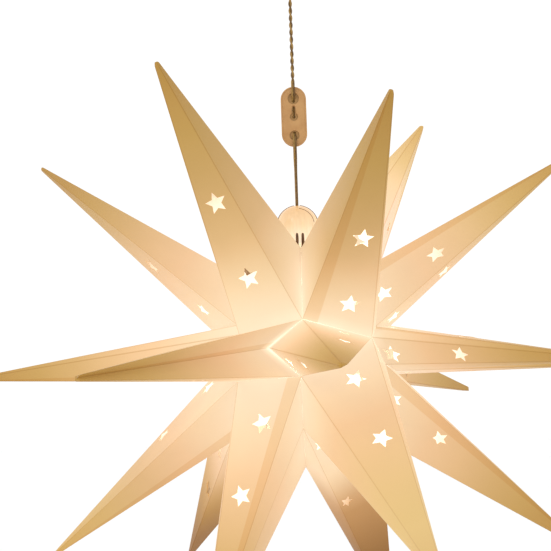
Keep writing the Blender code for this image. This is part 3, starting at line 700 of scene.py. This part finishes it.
def point_rows(work, outline, tip, number, flap, marks):
    """Vertices of a point, row by row; marks collects each vertex's fold, layer and base values."""
    glows = [BASE_GLOW.get(name, 0.0) for name in OUTLINES[POINTS[number - 1][0]]]
    places = OTHER_PLACES.get(number, STAR_PLACES)
    middle, shares, first_rows, rows = section_places(outline, tip, places)
    length = (tip - middle).length
    count = len(outline)
    made = []
    for r, (centre, scale) in enumerate(rows):
        spots = [centre + (spot - middle) * scale for spot in outline]
        share = shares[min(r, len(shares) - 1)]
        base = max(0.0, 1.0 - share * length / BASE_ROWS[1]) ** 2
        row = []
        for i in range(count):
            here, after = spots[i], spots[(i + 1) % count]
            width = (after - here).length
            outward = (after - here).cross(tip - here).normalized()
            columns = face_columns(width, i == flap, OFF_MIDDLE.get((number, i)))
            back = spots[i - 1]
            near = here.lerp(after, columns[0][0])
            other = here.lerp(back, min(FOLD, 0.12 * (back - here).length) / (back - here).length)
            ridge = work.verts.new(here.lerp((near + other) / 2, 0.45 if r else 0.0))
            glow, next_glow = glows[i], glows[(i + 1) % count]
            marks[ridge] = (1.0, 0.5 if i == flap else 0.0, base * glow)
            strip = [ridge]
            for position, layers in columns:
                bow = BOW * math.sin(math.pi * position) * 4 * share * (1 - share)
                vert = work.verts.new(here.lerp(after, position) + outward * bow)
                marks[vert] = (0.0, layers, base * (glow + (next_glow - glow) * position))
                strip.append(vert)
            row.append(strip)
        made.append(row)
    return made, first_rows


def fill_round_star(work, border, sides, centre, along, across, outward_face, marks):
    """Triangles between a patch's border and the punched star inside it."""
    low, high = sides
    width = min(((a - centre).cross((b - a).normalized())).length for a, b in zip(low, high))
    outer = min(STAR_OUTER, (width - 0.0005) / math.sin(math.radians(72)))
    inner = outer * STAR_INNER / STAR_OUTER
    star = []
    for k in range(10):
        reach = outer if k % 2 == 0 else inner
        turn = math.radians(36 * k)
        vert = work.verts.new(centre + along * math.cos(turn) * reach + across * math.sin(turn) * reach)
        marks[vert] = (0.0, 0.0, 0.0)
        star.append(vert)

    def angle(vert):
        offset = vert.co - centre
        return math.atan2(offset.dot(across), offset.dot(along)) % (2 * math.pi)

    outside = sorted(border, key=angle)
    inside = sorted(star, key=lambda vert: (angle(vert) + 1e-4) % (2 * math.pi))
    a = [angle(v) for v in outside]
    b = [2 * math.pi * k / 10 for k in range(10)]
    i = j = 0
    while i < len(outside) or j < len(inside):
        next_a = a[i + 1] if i + 1 < len(a) else a[0] + 2 * math.pi
        next_b = b[j + 1] if j + 1 < len(b) else b[0] + 2 * math.pi
        if j >= len(inside) or (i < len(outside) and next_a <= next_b):
            trio = (outside[i % len(outside)], outside[(i + 1) % len(outside)], inside[j % len(inside)])
            i += 1
        else:
            trio = (outside[i % len(outside)], inside[(j + 1) % len(inside)], inside[j % len(inside)])
            j += 1
        if (trio[1].co - trio[0].co).cross(trio[2].co - trio[0].co).dot(outward_face) < 0:
            trio = trio[::-1]
        work.faces.new(trio)


def add_tabs(work, strip, start, stop, marks):
    """A joining tab with cut-off corners, folded towards the centre along the joint plane."""
    plane = start.cross(stop).normalized()
    level = (stop - start).cross(plane).normalized()
    along = (stop - start).normalized()
    feet = strip[-4:-1]
    rows = [feet]
    for depth, narrowing in ((0.75, 0.06), (1.0, 0.16)):
        row = []
        for foot, side in zip(feet, (1, 0, -1)):
            spot = foot.co - level * TAB_DEPTH * depth + along * side * narrowing * TAB_DEPTH * 2
            vert = work.verts.new(spot)
            marks[vert] = (0.0, 0.0, 0.0)
            row.append(vert)
        rows.append(row)
    for upper, lower in zip(rows, rows[1:]):
        for k in (0, 1):
            work.faces.new((upper[k + 1], upper[k], lower[k], lower[k + 1]))


def across_face(row, i):
    """A row's vertices over face i, from its first fold to its next."""
    return row[i] + [row[(i + 1) % len(row)][0]]


def fill_faces(work, rows, star_rows, punched):
    """The faces between rows, but not where a star is punched."""
    for r in range(len(rows) - 1):
        in_star = any(first <= r < first + 2 for first in star_rows)
        for i in range(len(rows[r])):
            lower, upper = across_face(rows[r], i), across_face(rows[r + 1], i)
            cell = len(lower) - 5
            for c in range(len(lower) - 1):
                if i in punched and in_star and cell <= c < cell + 2:
                    continue
                work.faces.new((lower[c], lower[c + 1], upper[c + 1], upper[c]))


def punch_stars(work, rows, star_rows, punched, marks):
    for i in punched:
        for first in star_rows:
            low, mid, high = (across_face(rows[first + k], i) for k in range(3))
            cell = len(low) - 5
            border = low[cell:cell + 3] + [mid[cell], mid[cell + 2]] + high[cell:cell + 3]
            centre = mid[cell + 1].co.copy()
            along = (high[cell + 1].co - low[cell + 1].co).normalized()
            face_out = (low[cell + 2].co - low[cell].co).cross(along).normalized()
            across = along.cross(face_out)
            sides = ((low[cell].co, low[cell + 2].co), (high[cell].co, high[cell + 2].co))
            fill_round_star(work, border, sides, centre, along, across, face_out, marks)


def write_marks(work, marks):
    values = [marks[vert] for vert in work.verts]
    for name in MARKS:
        work.verts.layers.float.new(name)
    layers = [work.verts.layers.float[name] for name in MARKS]
    for vert, trio in zip(work.verts, values):
        for layer, value in zip(layers, trio):
            vert[layer] = value


def film_shell(name, surface, finishes):
    """The surface given the film's thickness, with its inner side in the second finish."""
    drawn = new_object(name + "_open", surface, finishes, CENTRE)
    shell = drawn.modifiers.new("Film", "SOLIDIFY")
    shell.thickness = FILM
    shell.offset = -1.0
    shell.use_even_offset = False
    shell.material_offset = 1
    shell.material_offset_rim = 0
    mesh = baked(name, drawn)
    smooth(mesh, 62.0)
    return mesh


def make_point(number, key, turn, elevation, azimuth, punched, flap, finishes):
    work = bmesh.new()
    marks = {}
    outline = inset_outline([corner(spot, turn) for spot in OUTLINES[key]])
    tip = direction(elevation, azimuth) * TIP_RADIUS
    rows, star_rows = point_rows(work, outline, tip, number, flap, marks)
    fill_faces(work, rows, star_rows, punched)
    punch_stars(work, rows, star_rows, punched, marks)
    nose = work.verts.new(tip)
    marks[nose] = (0.3, 0.0, 0.0)
    last = [vert for strip in rows[-1] for vert in strip]
    join_rings(work, last, [nose])
    for i, start in enumerate(outline):
        stop = outline[(i + 1) % len(outline)]
        if (stop - start).length > TAB_SHORTEST:
            add_tabs(work, across_face(rows[0], i), start, stop, marks)
    loose = [vert for vert in work.verts if not vert.link_faces]
    bmesh.ops.delete(work, geom=loose, context="VERTS")
    write_marks(work, marks)
    name = f"film_point_{number:02d}"
    mesh = film_shell(name, from_bmesh(work, name + "_open"), finishes)
    point = new_object(name, mesh, finishes, CENTRE)
    flat = point.modifiers.new("Flat faces", "WEIGHTED_NORMAL")
    flat.keep_sharp = True
    flat.weight = 80
    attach(point, "shade")
    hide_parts(f"point_{number:02d}")


def make_points():
    finishes = (film_material(), film_inside_material())
    for number, row in enumerate(POINTS, start=1):
        make_point(number, *row, finishes)


# --- joint clips ---
def clip_solid(work, start, stop):
    """U-shaped spring clip over a pair of tabs, its lips turned out a little."""
    middle = start.lerp(stop, 0.5)
    along = (stop - start).normalized()
    across = start.cross(stop).normalized()
    inward = across.cross(along).normalized()
    if inward.dot(middle) > 0:
        inward.negate()
    slot = FILM + FILM_GAP + CLIP_PLAY
    reach = slot + CLIP_WALL
    depth = TAB_DEPTH + CLIP_PLAY
    lip = depth - CLIP_DEPTH
    bend, back = lip + CLIP_LIP, reach - CLIP_WALL * 0.6
    half = [(slot, depth), (slot, bend), (slot + CLIP_FLARE, lip), (reach + CLIP_FLARE, lip),
            (reach, bend), (reach, depth), (back, depth + CLIP_WALL)]
    outline = half + [(-x, y) for x, y in reversed(half)]
    ends = []
    for side in (-0.5, 0.5):
        centre = middle + along * CLIP_LENGTH * side
        ends.append([work.verts.new(centre + across * x + inward * y) for x, y in outline])
    join_rings(work, *ends)
    for ring in ends:
        for corners in CLIP_END:
            work.faces.new([ring[k] for k in corners])


def joint(first, second):
    """Two corners, each with whether it is half turned, in one order."""
    return tuple(sorted((first, second)))


def joints():
    """Every joint between two points, once, as its two corners; the mouth's own edges have none."""
    found = {}
    for key, turn, *_ in POINTS:
        spots = [(name.rstrip("_"), name.endswith("_") != turn) for name in OUTLINES[key]]
        for first, second in zip(spots, spots[1:] + spots[:1]):
            ends = joint(first, second)
            found[ends] = found.get(ends, 0) + 1
    return sorted(ends for ends, uses in found.items() if uses == 2 or "keel" in dict(ends))


def make_joint_clips():
    skipped = {joint((upper, half_turn), (lower, half_turn))
               for upper, lower in MOUTH_JOINTS for half_turn in (False, True)}
    work = bmesh.new()
    for ends in joints():
        start, stop = (corner(name, half_turn) for name, half_turn in ends)
        if ends not in skipped and (stop - start).length > TAB_SHORTEST:
            clip_solid(work, start, stop)
    mesh = closed_mesh(work, "joint_clips", 50.0)
    steel = metal_material("clip steel", (0.80, 0.72, 0.60), 0.38, (0.55, 0.46, 0.35))
    clips = new_object("joint_clips", mesh, [steel], CENTRE)
    edge = clips.modifiers.new("Edge", "BEVEL")
    edge.width = 0.00012
    edge.segments = 1
    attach(clips, "shade")


# --- flex ---
def crossing(level, side, proud):
    """Places on the flex's way through a hole of the plate."""
    return [(0.0, side * proud * math.sin(math.pi * share), level - CROSSING_HEIGHT * share)
            for share in (-0.5, -0.25, 0.0, 0.25, 0.5)]


def flex_route():
    proud = PLATE_THICK / 2 + CORD / 2 + CORD_CLEAR
    upper_edge = PLATE_MIDDLE + PLATE_LENGTH / 2
    lower_edge = PLATE_MIDDLE - PLATE_LENGTH / 2
    return [
        (0.0, 0.0, FLEX_TOP),
        (0.0, 0.0, -0.040),
        (0.0, 0.0, -0.070),
        (0.0, 0.0, upper_edge + 0.030),
        (0.0, -proud * 0.7, upper_edge + 0.010),
        (0.0, -proud - 0.0003, upper_edge + 0.001),
        *crossing(PLATE_MIDDLE + PLATE_HOLE_RISE, 1, proud),
        (0.0, proud, PLATE_MIDDLE),
        *crossing(PLATE_MIDDLE - PLATE_EXIT_DROP, -1, proud),
        (0.0, -proud - 0.0003, lower_edge - 0.001),
        (0.0, -proud * 0.7, lower_edge - 0.010),
        (0.0, 0.0, lower_edge - 0.028),
        (0.0, 0.0, FLEX_LOW_JOIN),
        (0.0, 0.0, FLEX_END),
    ]


def twist_at(height):
    """Turn of the twin flex about its line: twisted above the plate, flat at it, turned below."""
    flat_from = PLATE_MIDDLE + PLATE_LENGTH / 2 + 0.004
    edge_from = PLATE_MIDDLE - PLATE_LENGTH / 2 - 0.004
    if height > flat_from:
        return 2 * math.pi * (height - flat_from) / TWIST_PITCH
    if height > edge_from:
        return 0.0
    share = min(1.0, (edge_from - height) / 0.020)
    return math.radians(LOW_TURN) * share * share * (3 - 2 * share)


def twin_ring(spot, tangent, turn):
    """Points round both conductors of the flex at one place: two circles joined by a thin web."""
    side = Vector((0.0, 1.0, 0.0)).cross(tangent).normalized()
    front = tangent.cross(side).normalized()
    wide = side * math.cos(turn) + front * math.sin(turn)
    thin = front * math.cos(turn) - side * math.sin(turn)
    core = arc(CORE / 2, 0.0, -150.0, 150.0, 10, CORE_APART / 2)
    return [spot + (wide * x + thin * y) * half for half in (1, -1) for x, y in core]


def flex_mesh(name, path, tangents):
    """One length of the flex, its two conductors in a material each, the second painted darker as shade in
    the twist.
    """
    work = bmesh.new()
    rings = []
    for spot, tangent in zip(path, tangents):
        rings.append([work.verts.new(p) for p in twin_ring(spot, tangent, twist_at(spot.z))])
    for before, after in zip(rings, rings[1:]):
        for k, face in enumerate(join_rings(work, before, after)):
            face.material_index = int(2 * k >= len(before))
    for ring in (rings[0], rings[-1]):
        work.faces.new(ring)
    return closed_mesh(work, name, 60.0)


def make_flex():
    path = smooth_path(flex_route(), WIRE_STEP)
    last = len(path) - 1
    tangents = [(path[min(i + 1, last)] - path[max(i - 1, 0)]).normalized() for i in range(last + 1)]

    def at_height(height):
        return min(range(len(path)), key=lambda i: abs(path[i].z - height))

    # The second conductor is a darker copy of the same copper: painted shade.
    finishes = [flex_material("flex gold core", (0.40, 0.25, 0.075), (0.25, 0.14, 0.035)),
                flex_material("flex core in painted shade", (0.20, 0.115, 0.030), (0.10, 0.050, 0.015))]
    plan = (
        ("flex_top", FLEX_TOP, FLEX_JOIN, ("ceiling", "pendant"), -0.0350, -0.0440),
        ("flex_to_plate", FLEX_JOIN, PLATE_MIDDLE, ("pendant", "hanger"), -0.0700, -0.1240),
        ("flex_from_plate", PLATE_MIDDLE, FLEX_LOW_JOIN, ("hanger", "pendant"), -0.1860, -0.2160),
        ("flex_to_lamp", FLEX_LOW_JOIN, FLEX_END, ("pendant", "lamp"), -0.2320, -0.2440),
    )
    for name, top, bottom, bodies, start, stop in plan:
        part = slice(at_height(top), at_height(bottom) + 1)
        line = path[part]
        piece = new_object(name, flex_mesh(name, line, tangents[part]), finishes)
        if name == "flex_top":
            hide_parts("flex")
        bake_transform(piece, *bodies, start=(0.0, 0.0, start), end=(0.0, 0.0, stop))


# --- hanger plate ---
def circle(centre_z, radius, count):
    return arc(radius, centre_z, 0.0, 360.0, count + 1)[:-1]


def stadium(half, reach, count, centre=0.0):
    """Two half circles, their middles reach above and below the centre."""
    return arc(half, centre + reach, 0.0, 180.0, count) + arc(half, centre - reach, 180.0, 360.0, count)


def flat_shape(name, outlines, thick, edge, back=0.0):
    """A plate with round edges from flat outlines in X and Z; back is its middle's place along Y."""
    lines = [[(x, z, 0.0) for x, z in outline] for outline in outlines]
    mesh = curve_mesh(name, lines, True, dimensions="2D", fill_mode="BOTH", extrude=thick / 2 - edge,
                      bevel_depth=edge, bevel_resolution=2, offset=-edge)
    upright = Matrix.Rotation(math.radians(90), 4, "X")
    mesh.transform(Matrix.Translation((0.0, back, PLATE_MIDDLE)) @ upright)
    return mesh


def keyhole_outline(width, slot):
    """A round hole with a narrower slot going up from it."""
    side = math.degrees(math.asin(slot / width))
    return arc(width / 2, 0.0, 90.0 + side, 449.99 - side, 28) + arc(slot / 2, KEYHOLE_TOP, 0.0, 180.0, 9)


def make_plate():
    half = PLATE_WIDTH / 2
    layer = PLATE_THICK / 2
    reach = PLATE_LENGTH / 2 - half
    width, height = FLEX_SLOT
    face = stadium(half - 0.0002, reach, 25)
    recesses = [circle(PLATE_HOLE_RISE, PLATE_HOLE / 2, 32), circle(-PLATE_EXIT_DROP, PLATE_EXIT / 2, 32),
                keyhole_outline(KEYHOLE, KEYHOLE_SLOT)]
    openings = [stadium(width / 2, (height - width) / 2, 13, PLATE_HOLE_RISE),
                stadium(width / 2, (height - width) / 2, 13, -PLATE_EXIT_DROP),
                keyhole_outline(KEYHOLE - 2 * KEYHOLE_STEP, KEYHOLE_SLOT - KEYHOLE_STEP * 0.6)]
    rim = [stadium(half, reach, 25), stadium(half - PLATE_RIM, reach, 25)]
    pieces = (
        flat_shape("plate_front", [face] + recesses, layer, 0.00025, -layer / 2),
        flat_shape("plate_back", [face] + openings, layer, 0.00025, layer / 2),
        flat_shape("plate_rim", rim, PLATE_THICK + PLATE_RIM_PROUD, 0.0003),
    )
    work = bmesh.new()
    for mesh in pieces:
        work.from_mesh(mesh)
        bpy.data.meshes.remove(mesh)
    bmesh.ops.remove_doubles(work, verts=work.verts, dist=0.000004)
    mesh = from_bmesh(work, "hanger_tag")
    smooth(mesh, 40.0)
    plate = new_object("hanger_tag", mesh, [plate_material()])
    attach(plate, "hanger")
    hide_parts("hanger_plate")


# --- lampholder, carrier and bulb ---
def make_cap():
    centre = CAP_TOP - CAP_RADIUS
    inner = CAP_RADIUS - CAP_WALL
    edge = CAP_WALL / 2
    profile = arc(CAP_RADIUS, centre, math.degrees(math.acos(CAP_BORE / CAP_RADIUS)), 0.0, 20)
    profile += [(CAP_RADIUS, CAP_BOTTOM + 0.0016)]
    profile += arc(edge, CAP_BOTTOM + edge, 0.0, -180.0, 7, CAP_RADIUS - edge)
    profile += [(inner, CAP_BOTTOM + 0.0016)]
    profile += arc(inner, centre, 0.0, math.degrees(math.acos(CAP_BORE / inner)), 20)
    cap = lathe("lampholder_cover", profile, [cap_material()], steps=72)
    placed(cap, "lamp", "clear_cap", "holder_cap")
    # Painted shade: dark ribs along the cap's outline and a little inside it, for the dark rim of the lit
    # cap.
    rim_shade = plastic_material("cap rim shade", (0.20, 0.105, 0.045), 0.40)
    add_dark_rim("cap_outline_shade", 0.0, 0.00065, 5.0, 175.0, rim_shade)
    add_dark_rim("cap_inner_rim_shade", -0.0112, 0.00030, 8.0, 84.0, rim_shade)


def add_dark_rim(name, level_y, thick, first, last, finish):
    """A thin dark rib over the cap: painted shade for the dark rim that the lit cap shows along its outline
    and a little inside it.
    """
    centre = CAP_TOP - CAP_RADIUS
    reach = math.sqrt(CAP_RADIUS ** 2 - level_y ** 2)
    hole = math.degrees(math.asin(CORD * 0.9 / reach)) if level_y == 0.0 else 0.0
    spans = [(first, 90.0 - hole), (90.0 + hole, last)] if hole else [(first, last)]
    lines = [[(x, level_y, z) for x, z in arc(reach, centre, start, stop, 24)] for start, stop in spans]
    mesh = curve_mesh(name, lines, False, dimensions="3D", bevel_depth=thick, bevel_resolution=3,
                      use_fill_caps=True)
    smooth(mesh, 60.0)
    placed(new_object(name, mesh, [finish], CENTRE), "lamp", "clear_cap")


def make_holder():
    glow = plastic_material("lampholder plastic", (0.84, 0.74, 0.58), 0.35, 70.0,
                            ((0.55, 0.47, 0.34), (0.30, 0.22, 0.12)))
    lip = HOLDER_RADIUS
    floor = lip - GROOVE_DEPTH
    profile = [(0.0, HOLDER_TOP)]
    profile += arc(HOLDER_BEND, HOLDER_TOP - HOLDER_BEND, 90.0, 0.0, 8, lip - HOLDER_BEND)
    for groove in range(4):
        level = CAP_BOTTOM - 0.0040 - groove * GROOVE_STEP
        profile += [(lip, level), (floor, level - 0.0005), (floor, level - 0.0015), (lip, level - 0.0020)]
    profile += arc(0.0008, HOLDER_BOTTOM + 0.0008, 0.0, -90.0, 4, lip - 0.0008)
    profile += [(SOCKET_RADIUS, HOLDER_BOTTOM), (SOCKET_RADIUS, HOLDER_FLOOR), (0.0, HOLDER_FLOOR)]
    placed(lathe("lampholder_body", profile, [glow], steps=56), "lamp", "white_plastic", "lampholder")
    low = RING_TOP - RING_HEIGHT
    inside = HOLDER_RADIUS + 0.0003
    ring_profile = arc(0.0010, RING_TOP - 0.0010, 90.0, 0.0, 5, RING_RADIUS - 0.0010)
    ring_profile += arc(0.0018, low + 0.0018, 0.0, -90.0, 5, RING_RADIUS - 0.0018)
    ring_profile += [(inside, low), (inside, RING_TOP)]
    ring = lathe("shade_ring_nut", ring_profile, [glow], steps=72)
    cut_grips(ring, low)
    placed(ring, "ring", "white_plastic", "shade_ring")


def cut_grips(ring, low):
    """Pulls every third edge of the ring in, as finger grips."""
    for vert in ring.data.vertices:
        spot = vert.co
        reach = math.hypot(spot.x, spot.y)
        step = round(math.degrees(math.atan2(spot.y, spot.x)) / 5) % 3
        if reach > RING_RADIUS - 0.0003 and step == 0 and spot.z > low + 0.001:
            spot.x *= 1 - 0.0006 / reach
            spot.y *= 1 - 0.0006 / reach
    ring.data.update()


def arm_steps():
    """(reach, rise, side) along an arm of the carrier: out on one side, round its end and back."""
    leg = [(CARRIER_RING, 0.0), (ARM_FOOT, 0.0012), (ARM_FOOT + 0.0014, ARM_RISE * 0.65),
           ((ARM_FOOT + ARM_REACH) / 2, ARM_RISE), (ARM_REACH - 0.0008, ARM_RISE * 0.65),
           (ARM_REACH, -ARM_DROP)]
    end = (ARM_REACH, -ARM_DROP - ARM_TIP, 0)
    return [(*spot, -1) for spot in leg] + [end] + [(*spot, 1) for spot in reversed(leg)]


def carrier_route():
    """One endless wire: round the holder, with an arm out to each corner of the star's mouth."""
    spots = []
    arms = sorted(CORNERS[name][1] + turn for name in ("mouth_a", "mouth_b") for turn in (0, 180))
    lead = math.degrees(ARM_HALF_WIDTH / CARRIER_RING) + 9.0
    for azimuth, following in zip(arms, arms[1:] + [arms[0] + 360]):
        outward = direction(0, azimuth)
        across = Vector((-outward.y, outward.x, 0.0)) * ARM_HALF_WIDTH
        for reach, rise, side in arm_steps():
            spots.append(outward * reach + across * side + Vector((0.0, 0.0, CARRIER_LEVEL + rise)))
        for angle in np.linspace(azimuth + lead, following - lead, 5):
            spots.append(direction(0, angle) * CARRIER_RING + Vector((0.0, 0.0, CARRIER_LEVEL)))
    return spots


def make_carrier():
    path = smooth_path(carrier_route(), WIRE_STEP, cyclic=True)
    mesh = curve_mesh("carrier_wire", [path], True, dimensions="3D", bevel_depth=WIRE / 2, bevel_resolution=4)
    smooth(mesh, 60.0)
    steel = metal_material("browned spring steel", (0.19, 0.105, 0.055), 0.36, (0.11, 0.06, 0.035))
    carrier = new_object("carrier_wire", mesh, [steel], CENTRE)
    placed(carrier, "shade", "spring_steel", "shade_carrier")


def globe_side(radius, neck, top):
    """One side of the glass, from its mouth down to the axis."""
    side = arc(radius, GLOBE_CENTRE, math.degrees(math.acos(neck / radius)), -90.0, 36)
    return [(neck, top)] + side[:-1] + [(0.0, GLOBE_CENTRE - radius)]


def make_bulb():
    low = BULB_TOP - BULB_CAP_LENGTH
    root = BULB_CAP_RADIUS - THREAD_DEPTH
    profile = [(0.0, BULB_TOP), (0.0045, BULB_TOP - 0.0006), (0.0050, BULB_TOP - 0.0012),
               (0.0100, BULB_TOP - 0.0035)]
    for turn in range(5):
        level = BULB_TOP - 0.0045 - BULB_THREAD * turn
        for step in range(6):
            wave = 0.5 + 0.5 * math.cos(2 * math.pi * (step / 6 - 0.25))
            profile.append((root + THREAD_DEPTH * wave, level - BULB_THREAD * step / 6))
    profile += [(BULB_CAP_RADIUS - 0.0006, low), (0.0, low)]
    nickel = metal_material("nickel", (0.60, 0.57, 0.52), 0.28, (0.45, 0.41, 0.36))
    placed(lathe("bulb_screw_cap", profile, [nickel], steps=56), "bulb", "nickel", "bulb_base")
    outside = globe_side(GLOBE_RADIUS, BULB_NECK, low - 0.0003)
    inside = globe_side(GLOBE_RADIUS - GLOBE_WALL, BULB_NECK - GLOBE_WALL, low - 0.0003)
    globe = lathe("bulb_glass", outside + inside[::-1], [globe_material()])
    placed(globe, "bulb", "frosted_globe", "bulb_globe")


# --- ceiling rose ---
def make_rose():
    low = -ROSE_HEIGHT
    white = plastic_material("white plastic", (0.80, 0.78, 0.73), 0.36)
    middle = ROSE_RADIUS - ROSE_BEND
    profile = [(ROSE_RADIUS, -0.0003), (ROSE_RADIUS, -0.0040), (ROSE_RADIUS - 0.0005, -0.0046),
               (ROSE_RADIUS - 0.0005, -0.0054), (ROSE_RADIUS, -0.0060)]
    profile += arc(ROSE_BEND, low + ROSE_BEND, 0.0, -90.0, 14, middle)
    profile += [(0.0105, low), (0.0100, low - 0.00025), (ROSE_MOUTH, low - 0.00025),
                (ROSE_MOUTH, low + ROSE_WALL)]
    profile += arc(ROSE_BEND - ROSE_WALL, low + ROSE_BEND, -90.0, 0.0, 14, middle)
    profile += [(ROSE_RADIUS - ROSE_WALL, -0.0003)]
    cover = lathe("ceiling_rose_cover", profile, [white], (0.0, 0.0, 0.0), 96)
    placed(cover, "cover", "white_plastic", "rose_cover")
    foot = low - GLAND_LENGTH
    gland = [(0.0074, low - 0.0006), (0.0078, low - 0.0012), (0.0074, low - 0.0026)]
    for ridge in range(4):
        level = low - 0.0034 - ridge * 0.0021
        reach = 0.0062 - ridge * 0.0007
        gland += [(reach, level), (reach, level - 0.0010), (reach - 0.0009, level - 0.0012),
                  (reach - 0.0009, level - 0.0019)]
    gland += [(0.0032, foot), (GLAND_BORE, foot), (GLAND_BORE, low + GLAND_RISE),
              (0.0048, low + GLAND_RISE), (0.0048, low - 0.0006)]
    clear = plastic_material("gland plastic", (0.70, 0.66, 0.58), 0.28)
    placed(lathe("flex_gland", gland, [clear], (0.0, 0.0, 0.0), 48), "cover", "white_plastic", "cord_grip")


# --- carried-over CAD nodes ---
def dress_nodes():
    nickel = metal_material("screw nickel", (0.60, 0.57, 0.52), 0.28, (0.45, 0.41, 0.36))
    finishes = {
        "rose_base": plastic_material("rose base plastic", (0.76, 0.74, 0.70), 0.42),
        "terminal_block": plastic_material("terminal plastic", (0.66, 0.65, 0.62), 0.45),
        "rose_screw_1": nickel,
        "rose_screw_2": nickel,
        "holder_contact": metal_material("brass", (0.70, 0.50, 0.22), 0.30, (0.55, 0.38, 0.16)),
        "led_stem": stem_material(),
    }
    clip = metal_material("mouth clip steel", (0.30, 0.22, 0.14), 0.34, (0.18, 0.11, 0.06))
    for number in (1, 2, 3, 4):
        finishes[f"mouth_clip_{number}"] = clip
    for name, finish in finishes.items():
        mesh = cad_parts[name].data
        mesh.materials.clear()
        mesh.materials.append(finish)


# --- stage, light and camera ---
def make_stage():
    work = bmesh.new()
    bmesh.ops.create_grid(work, x_segments=4, y_segments=4, size=9.0)
    floor = new_object("floor", from_bmesh(work, "floor"), [], (0.0, 0.0, FLOOR_LEVEL))
    m = Nodes("pale floor")
    m.set(Base_Color=m.tint((0.96, 0.96, 0.96), m.grain(m.noise(3.0), 0.995, 1.005)), Roughness=0.9)
    floor.data.materials.append(m.material)
    world = bpy.data.worlds.new("studio")
    world.use_nodes = True
    background = world.node_tree.nodes["Background"]
    background.inputs["Color"].default_value = (*WHITE, 1.0)
    background.inputs["Strength"].default_value = 1.05
    bpy.context.scene.world = world


def look(place, target):
    """The turn that points a light or a camera from one place to another."""
    return (Vector(target) - Vector(place)).to_track_quat("-Z", "Y")


def make_light():
    key = bpy.data.lights.new("key", "AREA")
    key.shape = "DISK"
    key.size = 1.4
    key.energy = 9.0
    linked("key", key, KEY_PLACE).rotation_euler = look(KEY_PLACE, CENTRE).to_euler()
    lamp = bpy.data.lights.new("lamp", "POINT")
    lamp.energy = 0.45
    lamp.color = (1.0, 0.82, 0.58)
    lamp.shadow_soft_size = GLOBE_RADIUS
    linked("lamp", lamp, CENTRE + LAMP_DROP)


def make_camera():
    data = bpy.data.cameras.new("camera")
    data.sensor_width = 36.0
    data.lens = CAMERA_LENS
    camera = linked("camera", data, CAMERA_PLACE)
    roll = Matrix.Rotation(math.radians(CAMERA_ROLL), 3, "Z")
    camera.rotation_euler = (look(CAMERA_PLACE, CAMERA_TARGET).to_matrix() @ roll).to_euler()
    bpy.context.scene.camera = camera
    bpy.context.scene.view_settings.view_transform = "Standard"


make_camera()
make_flex()
make_plate()
make_points()
make_joint_clips()
make_cap()
make_holder()
make_carrier()
make_bulb()
make_rose()
dress_nodes()
make_stage()
make_light()
